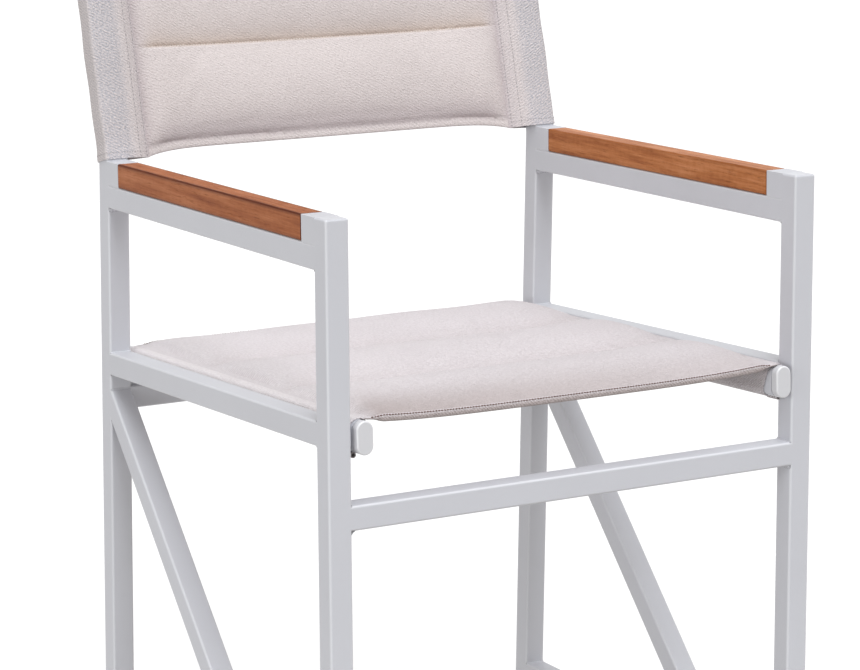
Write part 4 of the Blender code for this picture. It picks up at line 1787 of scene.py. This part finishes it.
@dataclass(frozen=True)
class Inflation:
    """Blows a padded panel up with a cloth simulation, while its seams, hems and sides are held."""

    pressure: float = 4.0
    limit: float = 0.005
    frames: int = 20
    stiffness: float = 18.0
    bending: float = 0.6
    quality: int = 6

    def swell(self, cover: Cover) -> Array:
        """Args:
            cover: The panel.

        Returns:
            Where its points end up, moved by no more than the limit.
        """
        points = cover.points
        shell = Shell()
        shell.loft(points)
        bag = shell.build("inflating_panel")
        group = bag.vertex_groups.new(name="held")
        group.add(np.flatnonzero(cover.held.ravel()).tolist(), 1.0, "REPLACE")
        cloth = bag.modifiers.new("inflation", "CLOTH")
        settings = cloth.settings
        settings.vertex_group_mass = "held"
        settings.use_pressure = True
        settings.uniform_pressure_force = self.pressure
        settings.effector_weights.gravity = 0.0
        settings.tension_stiffness = self.stiffness
        settings.compression_stiffness = self.stiffness
        settings.bending_stiffness = self.bending
        settings.quality = self.quality
        cloth.point_cache.frame_start = 1
        cloth.point_cache.frame_end = self.frames
        scene = bpy.context.scene
        for frame in range(1, self.frames + 1):
            scene.frame_set(frame)
        blown = bag.evaluated_get(bpy.context.evaluated_depsgraph_get())
        flat = np.empty(points.size, np.float32)
        blown.data.vertices.foreach_get("co", flat)
        scene.frame_set(1)
        bpy.data.objects.remove(bag)
        moved = flat.reshape(points.shape).astype(float) - points
        far = np.linalg.norm(moved, axis=-1, keepdims=True)
        LOG.info("inflation moved points up to %.1f mm", far.max() / MILLIMETRE)
        return points + moved * np.minimum(1.0, self.limit / np.maximum(far, TINY))


@dataclass(frozen=True)
class Stitching:
    """Runs of short thread stitches along sewn lines."""

    pitch: float = 0.0034
    length: float = 0.0026
    radius: float = 0.0003
    tip: float = 0.15
    arch: float = 0.5
    sides: int = 6
    rings: int = 5

    def add(self, shell: Shell, line: Array, lift: Array) -> None:
        """Lays stitches along a line.

        A stitch is a small arched spindle: its girth and its height follow a half wave from end to end.

        Args:
            shell: What the stitches are added to.
            line: Points along the sewn line, shape (points, 3).
            lift: The direction out of the cloth, for the whole line or at each point.
        """
        run = travelled(line)
        out = np.broadcast_to(lift, line.shape)
        places = np.arange(self.pitch / 2, run[-1], self.pitch)
        share = np.linspace(-0.5, 0.5, self.rings)
        wave = np.cos(share * math.pi)
        at = places[:, None] + share * self.length
        centre = np.stack([np.interp(at, run, line[:, axis]) for axis in range(3)], axis=-1)
        upward = np.stack([np.interp(places, run, out[:, axis]) for axis in range(3)], axis=-1)
        ahead = unit(centre[:, -1] - centre[:, 0])
        beside = unit(np.cross(ahead, upward))
        upward = np.cross(beside, ahead)
        angle = np.arange(self.sides) * 2 * math.pi / self.sides
        ring = np.cos(angle)[:, None] * beside[:, None] + np.sin(angle)[:, None] * upward[:, None]
        girth = np.maximum(self.tip, wave) * self.radius
        arch = centre + (wave * self.arch * self.radius)[:, None] * upward[:, None]
        shell.lofts(arch[:, :, None] + girth[:, None, None] * ring[:, None])


@dataclass(frozen=True)
class SeatSling:
    """The padded seat on its two sleeves."""

    lines: SideView
    tubes: SeatTubes
    dresser: Dresser
    fit: float = 0.0004
    wall: float = 0.0012
    slant: float = math.radians(22.0)
    hem_inset: float = 0.004
    lap: float = 0.0001
    roll: float = 0.0030
    roll_wall: float = 0.0009
    roll_drop: float = 0.0016
    roll_out: float = 0.005
    roll_length: float = 0.018
    roll_start: float = 0.003
    roll_steps: int = 5
    sleeve_rows: int = 70
    shade_from: float = 0.45
    shade_rise: float = 0.4
    pale_rise: float = 0.5
    cloth_crease: float = math.radians(60.0)
    hem_clear: int = 3
    seam_clear: int = 6
    hem_thread: Stitching = Stitching(pitch=0.0032, length=0.0031, radius=0.00070)
    seam_thread: Stitching = Stitching()

    def frame(self) -> tuple[Array, Array, Array, float]:
        """Where the panel lies.

        Returns:
            The middle of its front edge, its direction along, its upward direction and its length.
        """
        lines = self.lines
        up = square_to(lines.seat_along)
        start = lines.seat_top.point
        inset = lines.seat_along * self.hem_inset
        first = lines.front_leg_front.meets(start, lines.seat_along) + inset
        last = lines.rear_leg_rear.meets(start, lines.seat_along) - inset
        origin = first + up * (self.fit + self.wall / 2)
        return origin, lines.seat_along, up, float(np.linalg.norm(last - first))

    def build(self) -> None:
        """Builds the cover, with the panel blown up, and its stitches."""
        origin, along, up, length = self.frame()
        panel = PaddedPanel(
            half_width=self.tubes.centre - self.wall,
            length=length,
            channels=3,
            sag=0.006,
            crown=0.0125,
            belly=0.006,
            hem=0.006,
            hem_thickness=0.0075,
            setback=0.0,
            edge=self.wall - 2 * self.lap,
            margin=self.tubes.width / 2 + self.fit + self.wall,
            side_painted_shade=0.0,
            seed=5,
            # These tints paint shade into the seams, the front slope and the hems, and pale paints light on
            # the left.
            shade=0.26,
            shade_reach=0.018,
            first_shade=0.88,
            first_reach=0.048,
            flatness=1.9,
            fade=0.020,
            sway=0.0005,
            hem_tint=0.85,
            hem_rise=0.014,
            level=0.9,
            first_slant=0.3,
            pale=0.5,
        )
        cover = panel.build()
        placed = origin + Inflation().swell(cover) @ np.stack([X_AXIS, along, up])
        shell = Shell()
        cover.add_to(shell, placed)
        for side in Side:
            self.sleeve(shell, side)
            self.seam_roll(shell, side)
        piece = shell.build("seat_sling_cover", self.cloth_crease)
        self.dresser.dress(piece, SEAT_TWILL, Slot.FABRIC, ("seat_sling",))

        hems = Shell()
        for column, way in zip(panel.hem_columns(), (-1, 1)):
            self.hem_thread.add(hems, placed[self.hem_clear : -self.hem_clear, column], up + way * along)
        self.dresser.dress(hems.build("seat_hem_stitches"), BROWN_THREAD, Slot.FABRIC)
        seams = Shell()
        for column in panel.seam_columns():
            self.seam_thread.add(seams, placed[self.seam_clear : -self.seam_clear, column], up)
        self.dresser.dress(seams.build("seat_seam_stitches"), WHITE_THREAD, Slot.FABRIC)

    def sleeve(self, shell: Shell, side: Side) -> None:
        """Adds the sleeve round one seat tube: the tube's outline, grown, carried between two slanted cuts.

        Its tone is a painted shade below the seat's edge, dying out towards the underside, and a painted
        light on the left one's top.

        Args:
            shell: What the sleeve is added to.
            side: The side of the chair.
        """
        lines = self.lines
        ends = []
        for plane, inward in zip(self.tubes.ends(side), (1, -1)):
            tilt = inward * self.slant
            normal = math.cos(tilt) * plane.normal + math.sin(tilt) * square_to(plane.normal)
            ends.append(Plane(plane.moved(inward * self.tubes.bare).point, unit(normal)))
        skins = []
        for grow in (self.fit + self.wall, self.fit):
            profile = self.tubes.profile(grow)
            two = bar(profile, self.tubes.axis(side), lines.seat_along, X_AXIS, tuple(ends))
            share = np.linspace(0, 1, self.sleeve_rows)[:, None, None]
            skins.append(two[0] * (1 - share) + two[1] * share)
        height = -profile.points[:, 1] / (self.tubes.height / 2)
        # Painted light on the left sleeve's top, and painted shade below the seat's edge.
        pale = smooth_step(height / self.pale_rise) if side is Side.LEFT else 0.0
        shaded = smooth_step((self.shade_from - height) / self.shade_rise) * smooth_step(height + 1)
        add_wall(shell, skins[0], skins[1], tone=shaded - pale)

    def seam_roll(self, shell: Shell, side: Side) -> None:
        """Adds the rolled end of a sleeve's seam: a short thin pipe under the sleeve's front end.

        Args:
            shell: What the roll is added to.
            side: The side of the chair.
        """
        lines = self.lines
        drop = square_to(lines.seat_along) * (self.tubes.height / 2 + self.roll_drop)
        axis = self.tubes.axis(side) + X_AXIS * side.value * self.roll_out - drop
        front = self.tubes.ends(side)[0].moved(self.tubes.bare - self.roll_start)
        cuts = (front, front.moved(self.roll_length))
        skins = []
        for radius in (self.roll, self.roll - self.roll_wall):
            profile = Profile.rounded(2 * radius, 2 * radius, (radius,) * 4, self.roll_steps)
            skins.append(bar(profile, axis, lines.seat_along, X_AXIS, cuts))
        # Tone one gives the whole roll the sleeves' painted shade.
        add_wall(shell, skins[0], skins[1], tone=1.0)


def add_wall(
    shell: Shell, outer: Array, inner: Array, tint: Array | float = 0.0, tone: Array | float = 0.0
) -> None:
    """Adds a closed wall between an outer and an inner skin of rings, with an edge at each end.

    Args:
        shell: What the wall is added to.
        outer: The outer rings, shape (rings, points, 3).
        inner: The inner rings, in the same shape.
        tint: The tint round a ring.
        tone: The tone round a ring.
    """
    rings = np.concatenate([outer, inner[::-1]])
    around = travelled(np.concatenate([outer[0], outer[0, :1]]))
    along = travelled(np.concatenate([rings[:, 0], rings[:1, 0]]))
    cloth = np.stack(np.broadcast_arrays(around[None], along[:, None]), axis=-1)
    shell.patch(rings, wrap=True, wrap_rows=True, cloth=cloth, tint=tint, tone=tone)


def closer_ends(count: int, blend: float) -> Array:
    """Steps from zero to one: even ones blended with a half cosine, which is closer at both ends."""
    share = np.linspace(0, 1, count)
    return blend * (1 - np.cos(math.pi * share)) / 2 + (1 - blend) * share


def travelled(line: Array) -> Array:
    """The distance along a line at each of its points, shape (points,)."""
    return np.concatenate([[0.0], np.cumsum(np.linalg.norm(np.diff(line, axis=0), axis=1))])


@dataclass(frozen=True)
class BackSling:
    """The padded back on the sleeves that slip over the posts."""

    lines: SideView
    dresser: Dresser
    fit: float = 0.0003
    wall: float = 0.0008
    sheet: float = 0.0024
    pocket: float = 0.029
    lap: float = 0.0001
    hem: float = 0.011
    rows: int = 61
    end_rows: float = 0.5
    ridge: float = 0.0011
    ridge_open: float = 0.0002
    turned_hem: float = 0.0082
    turned_edge: float = 0.001
    turned_layer: float = 0.0004
    waver: float = 0.0003
    waver_waves: Size = (95.0, 41.0)
    waver_fade: float = 0.02
    sleeve_seed: int = 40
    corner_steps: int = 8
    wedge_steps: int = 18
    seam_painted_shade: float = 0.50
    seam_reach: float = 0.005
    wedge_tone: float = 0.25
    wedge_share: float = 0.55
    wedge_fade: float = 0.5
    outer_tone: float = 0.5
    outer_reach: float = 0.004
    stitch_inset: float = 0.0076
    front_columns: tuple[int, int] = (-3, -9)
    rear_columns: tuple[int, int] = (2, 8)
    cloth_crease: float = math.radians(60.0)
    hem_clear: int = 3
    seam_clear: int = 6
    sleeve_thread: Stitching = Stitching(pitch=0.0044, length=0.0034, radius=0.00042)
    seam_thread: Stitching = Stitching()

    @property
    def seam(self) -> float:
        """From the middle plane to a sleeve's seam."""
        return self.lines.inner_half - self.pocket

    @property
    def foot(self) -> Array:
        """The middle of the sling's lower edge, between the posts' axes."""
        return self.lines.bend + self.lines.post_up * self.lines.back_stand

    @property
    def front(self) -> Array:
        """The direction that the sling faces."""
        return square_to(self.lines.post_up)

    def build(self) -> None:
        """Builds the cover, with the panel blown up, and its stitches."""
        lines = self.lines
        panel = PaddedPanel(
            half_width=self.seam,
            length=lines.back_height,
            channels=2,
            sag=0.018,
            crown=0.0115,
            belly=0.009,
            hem=self.hem,
            hem_thickness=0.004,
            setback=0.009,
            edge=self.sheet - 2 * self.lap,
            margin=0.0,
            # These tints paint shade beside the sleeves, above the middle seam and above the lower hem.
            side_painted_shade=0.50,
            side_reach=0.008,
            side_rise=1.0,
            seed=9,
            fade=0.034,
            shade=0.06,
            shade_reach=0.011,
            first_shade=0.38,
            first_reach=0.020,
            seam_tan_shade=0.75,
            seam_fill=0.5,
        )
        cover = panel.build()
        placed = self.foot + Inflation().swell(cover) @ np.stack([X_AXIS, lines.post_up, self.front])
        shell = Shell()
        cover.add_to(shell, placed)
        turned = Shell()
        for side in Side:
            skin = self.sleeve(shell, side)
            self.sleeve_stitches(turned, skin, side)
        piece = shell.build("back_sling_cover", self.cloth_crease)
        self.dresser.dress(piece, BACK_TWILL, Slot.FABRIC, ("back_sling",), BACK_BODY)
        sewn = Shell()
        for column in panel.seam_columns():
            self.seam_thread.add(sewn, placed[self.seam_clear : -self.seam_clear, column], self.front)
        self.dresser.dress(sewn.build("back_seam_stitches"), WHITE_THREAD, Slot.FABRIC, (), BACK_BODY)
        self.dresser.dress(turned.build("back_sleeve_stitches"), GREY_THREAD, Slot.FABRIC, (), BACK_BODY)

    def outline(self, grow: float, tip: float, tip_half: float, ridge: float) -> Array:
        """A sleeve's outline on the right side: square round the post, then a wedge to the seam.

        The wedge is a straight line with one wave on it, which makes the soft ridge beside the seam.

        Args:
            grow: Distance from the post's faces.
            tip: Where the seam lies, from the middle plane.
            tip_half: Half the thickness at the seam.
            ridge: Half the wave's height.

        Returns:
            Points across and towards the front, from the seam round the rear and back to the seam.
        """
        lines = self.lines
        half = lines.tube / 2 + grow
        radius = lines.corner + grow
        angle = np.linspace(0, math.pi / 2, self.corner_steps + 1)
        corner = np.array((lines.side_centre + half - radius, half - radius))
        front = corner + np.stack([np.cos(angle), np.sin(angle)], axis=-1) * radius
        share = np.linspace(0, 1, self.wedge_steps + 1)[:, None]
        wedge = np.array((lines.inner_half, half)) * (1 - share) + np.array((tip, tip_half)) * share
        wedge[:, 1] += ridge * (1 - np.cos(2 * math.pi * share[:, 0]))
        upper = np.concatenate([front, wedge])
        lower = upper[::-1] * (1, -1)
        return np.concatenate([lower, upper])

    def sleeve(self, shell: Shell, side: Side) -> Array:
        """Adds one sleeve: its outline carried up the post, with a turned hem at each end.

        Two sines along the post make a faint waver. The tint, a painted shade, is an exponential from the
        seam, and the tone rises from the wedge to the post's front.

        Args:
            shell: What the sleeve is added to.
            side: The side of the chair.

        Returns:
            The outer skin, shape (rows, points, 3).
        """
        lines = self.lines
        run = lines.back_height * closer_ends(self.rows, self.end_rows)
        edge = np.minimum(run, lines.back_height - run)
        thicker = self.turned_layer * smooth_step((self.turned_hem - edge) / self.turned_edge)
        phase = np.random.default_rng(self.sleeve_seed + side.value).uniform(0, 2 * math.pi, 2)
        wave = sum(np.sin(run * turns + start) for turns, start in zip(self.waver_waves, phase))
        swell = thicker + self.waver * wave * smooth_step(edge / self.waver_fade)
        tip = self.seam - self.wall
        skin = self.fit + self.wall
        outer = self.outline(skin, tip, self.sheet / 2, self.ridge)
        grown = self.outline(skin + MILLIMETRE, tip, self.sheet / 2 + self.ridge_open, self.ridge)
        inner = self.outline(self.fit, self.seam + 2 * self.wall, self.sheet / 4, 0.0)
        flat = outer + swell[:, None, None] * (grown - outer) / MILLIMETRE
        skins = []
        for section in (flat, np.broadcast_to(inner, flat.shape)):
            ring = section[..., :1] * side.value * X_AXIS + section[..., 1:] * self.front
            skins.append(self.foot + ring + run[:, None, None] * lines.post_up)
        inside = outer[:, 0] - tip
        # A painted shade beside the seam.
        tint = self.seam_painted_shade * np.exp(-inside / self.seam_reach)
        risen = smooth_step((inside - self.pocket * self.wedge_share) / (self.pocket * self.wedge_fade))
        outside = smooth_step((inside - inside.max() + self.outer_reach) / self.outer_reach)
        tone = (self.wedge_tone + (1 - self.wedge_tone) * risen) * (1 - self.outer_tone * outside)
        add_wall(shell, skins[0], skins[1], tint, tone)
        return skins[0]

    def sleeve_stitches(self, shell: Shell, skin: Array, side: Side) -> None:
        """Adds a sleeve's stitches: two rows up its seam, in front and behind, and one round each end.

        Args:
            shell: What the stitches are added to.
            skin: The sleeve's outer skin.
            side: The side of the chair.
        """
        for columns, way in ((self.front_columns, 1), (self.rear_columns, -1)):
            for column in columns:
                self.sleeve_thread.add(shell, skin[:, column], self.front * way)
        centre = self.foot + self.lines.side_middle(side)
        height = (skin[:, 0] - self.foot) @ self.lines.post_up
        for level in (self.stitch_inset, self.lines.back_height - self.stitch_inset):
            row = np.argmin(np.abs(height - level))
            line = skin[row, self.hem_clear : -self.hem_clear]
            outward = unit(line - centre - height[row] * self.lines.post_up)
            self.seam_thread.add(shell, line, outward)


@dataclass(frozen=True)
class Studio:
    """The floor, the soft light and the camera at the photograph's place."""

    lines: SideView
    camera_x: float = -1.58754
    camera_y: float = -2.5230
    camera_z: float = 1.15377
    heading: float = math.radians(-29.313)
    tilt: float = math.radians(-11.398)
    roll: float = math.radians(-0.355)
    focal_pixels: float = 3074.68
    frame_width: float = 860.0
    sensor: float = 36.0
    floor_size: float = 120.0
    floor_colour: Colour = (0.20, 0.20, 0.20)
    floor_glow: float = 0.85
    floor_roughness: float = 0.9
    sight: float = 200.0
    surround: float = 0.50
    surround_colour: Colour = (1.0, 0.970, 0.930)
    lamp_colour: Colour = (0.945, 0.970, 1.0)
    high_light: float = 1.56
    high_spread: float = math.radians(56.0)
    high_way: Triple = (0.0, 0.40, -1.0)
    key_light: float = 1.2
    key_spread: float = math.radians(28.0)
    key_way: Triple = (0.06, 0.66, -0.90)
    left_light: float = 90.0
    left_size: Size = (1.8, 1.8)
    left_place: Triple = (-6.0, -1.5, 1.3)
    rear_light: float = 15.0
    rear_size: Size = (5.0, 1.7)
    rear_place: Triple = (1.8, 3.1, 1.3)
    aim: Triple = (0.0, 0.0, 0.5)

    def build(self) -> None:
        """Builds the stage."""
        self.floor()
        self.light()
        self.camera()

    def floor(self) -> None:
        """A wide pale floor, bright enough to stay white, which throws no light back onto the chair."""
        half = self.floor_size / 2
        mesh = bpy.data.meshes.new("studio_floor")
        corners = [(-half, -half, 0.0), (half, -half, 0.0), (half, half, 0.0), (-half, half, 0.0)]
        mesh.from_pydata(corners, [], [(0, 1, 2, 3)])
        floor = bpy.data.objects.new("studio_floor", mesh)
        floor.visible_diffuse = False
        bpy.context.scene.collection.objects.link(floor)
        recipe = Recipe("pale_floor")
        material = recipe.finish(
            Base_Color=self.floor_colour,
            Roughness=self.floor_roughness,
            Emission_Color=(1.0, 1.0, 1.0, 1.0),
            Emission_Strength=self.floor_glow,
        )
        mesh.materials.append(material)

    def light(self) -> None:
        """A dim warm surround, two soft lights from high in front, softboxes left and behind."""
        scene = bpy.context.scene
        world = bpy.data.worlds.new("white_surround")
        world.use_nodes = True
        background = world.node_tree.nodes["Background"]
        background.inputs["Color"].default_value = (*self.surround_colour, 1.0)
        background.inputs["Strength"].default_value = self.surround
        scene.world = world
        self.far_light("high_softbox", self.high_light, self.high_spread, self.high_way)
        self.far_light("key_softbox", self.key_light, self.key_spread, self.key_way)
        self.softbox("left_softbox", self.left_light, self.left_size, self.left_place)
        self.softbox("rear_softbox", self.rear_light, self.rear_size, self.rear_place)
        scene.view_settings.view_transform = "Standard"
        scene.view_settings.look = "None"
        scene.view_settings.exposure = 0.0

    def far_light(self, name: str, strength: float, spread: float, way: Triple) -> None:
        """A far, wide soft light.

        Args:
            name: The light's name.
            strength: Its strength on a face square to it.
            spread: How wide it is, as an angle.
            way: The way that it shines.
        """
        light = bpy.data.lights.new(name, "SUN")
        light.energy = strength
        light.angle = spread
        light.color = self.lamp_colour
        lamp = bpy.data.objects.new(name, light)
        lamp.matrix_world = Vector(way).to_track_quat("-Z", "Y").to_matrix().to_4x4()
        bpy.context.scene.collection.objects.link(lamp)

    def softbox(self, name: str, power: float, size: Size, place: Triple) -> None:
        """An oblong soft light aimed at the chair.

        Args:
            name: The light's name.
            power: Its power in watts.
            size: Its width and height in metres.
            place: Where it stands.
        """
        light = bpy.data.lights.new(name, "AREA")
        light.shape = "RECTANGLE"
        light.size, light.size_y = size
        light.energy = power
        light.color = self.lamp_colour
        lamp = bpy.data.objects.new(name, light)
        turn = (Vector(self.aim) - Vector(place)).to_track_quat("-Z", "Y")
        lamp.matrix_world = Matrix.Translation(place) @ turn.to_matrix().to_4x4()
        lamp.visible_camera = False
        bpy.context.scene.collection.objects.link(lamp)

    def camera(self) -> None:
        """The photograph's camera."""
        data = bpy.data.cameras.new("photo_camera")
        data.sensor_width = self.sensor
        data.lens = self.focal_pixels * self.sensor / self.frame_width
        data.clip_end = self.sight
        camera = bpy.data.objects.new("photo_camera", data)
        place = Matrix.Translation((self.camera_x, self.lines.front_y + self.camera_y, self.camera_z))
        turn = Matrix.Rotation(self.heading, 4, "Z") @ Matrix.Rotation(math.pi / 2 + self.tilt, 4, "X")
        camera.matrix_world = place @ turn @ Matrix.Rotation(self.roll, 4, "Z")
        bpy.context.scene.collection.objects.link(camera)
        bpy.context.scene.camera = camera


def main() -> None:
    """Builds the chair's pieces in order."""
    logging.basicConfig(level=logging.INFO, format="%(name)s: %(message)s")
    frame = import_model()
    nodes = frame["nodes"]
    lines = SideView(front_y=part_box("left_front_leg")[0].y)
    dresser = Dresser()
    tubes = SeatTubes(lines, dresser, nodes)
    Studio(lines).build()
    WeldedFrame(lines, dresser).build()
    Armrests(lines, dresser).build()
    tubes.build()
    SeatSling(lines, tubes, dresser).build()
    BackSling(lines, dresser).build()


if __name__ == "__main__":
    main()
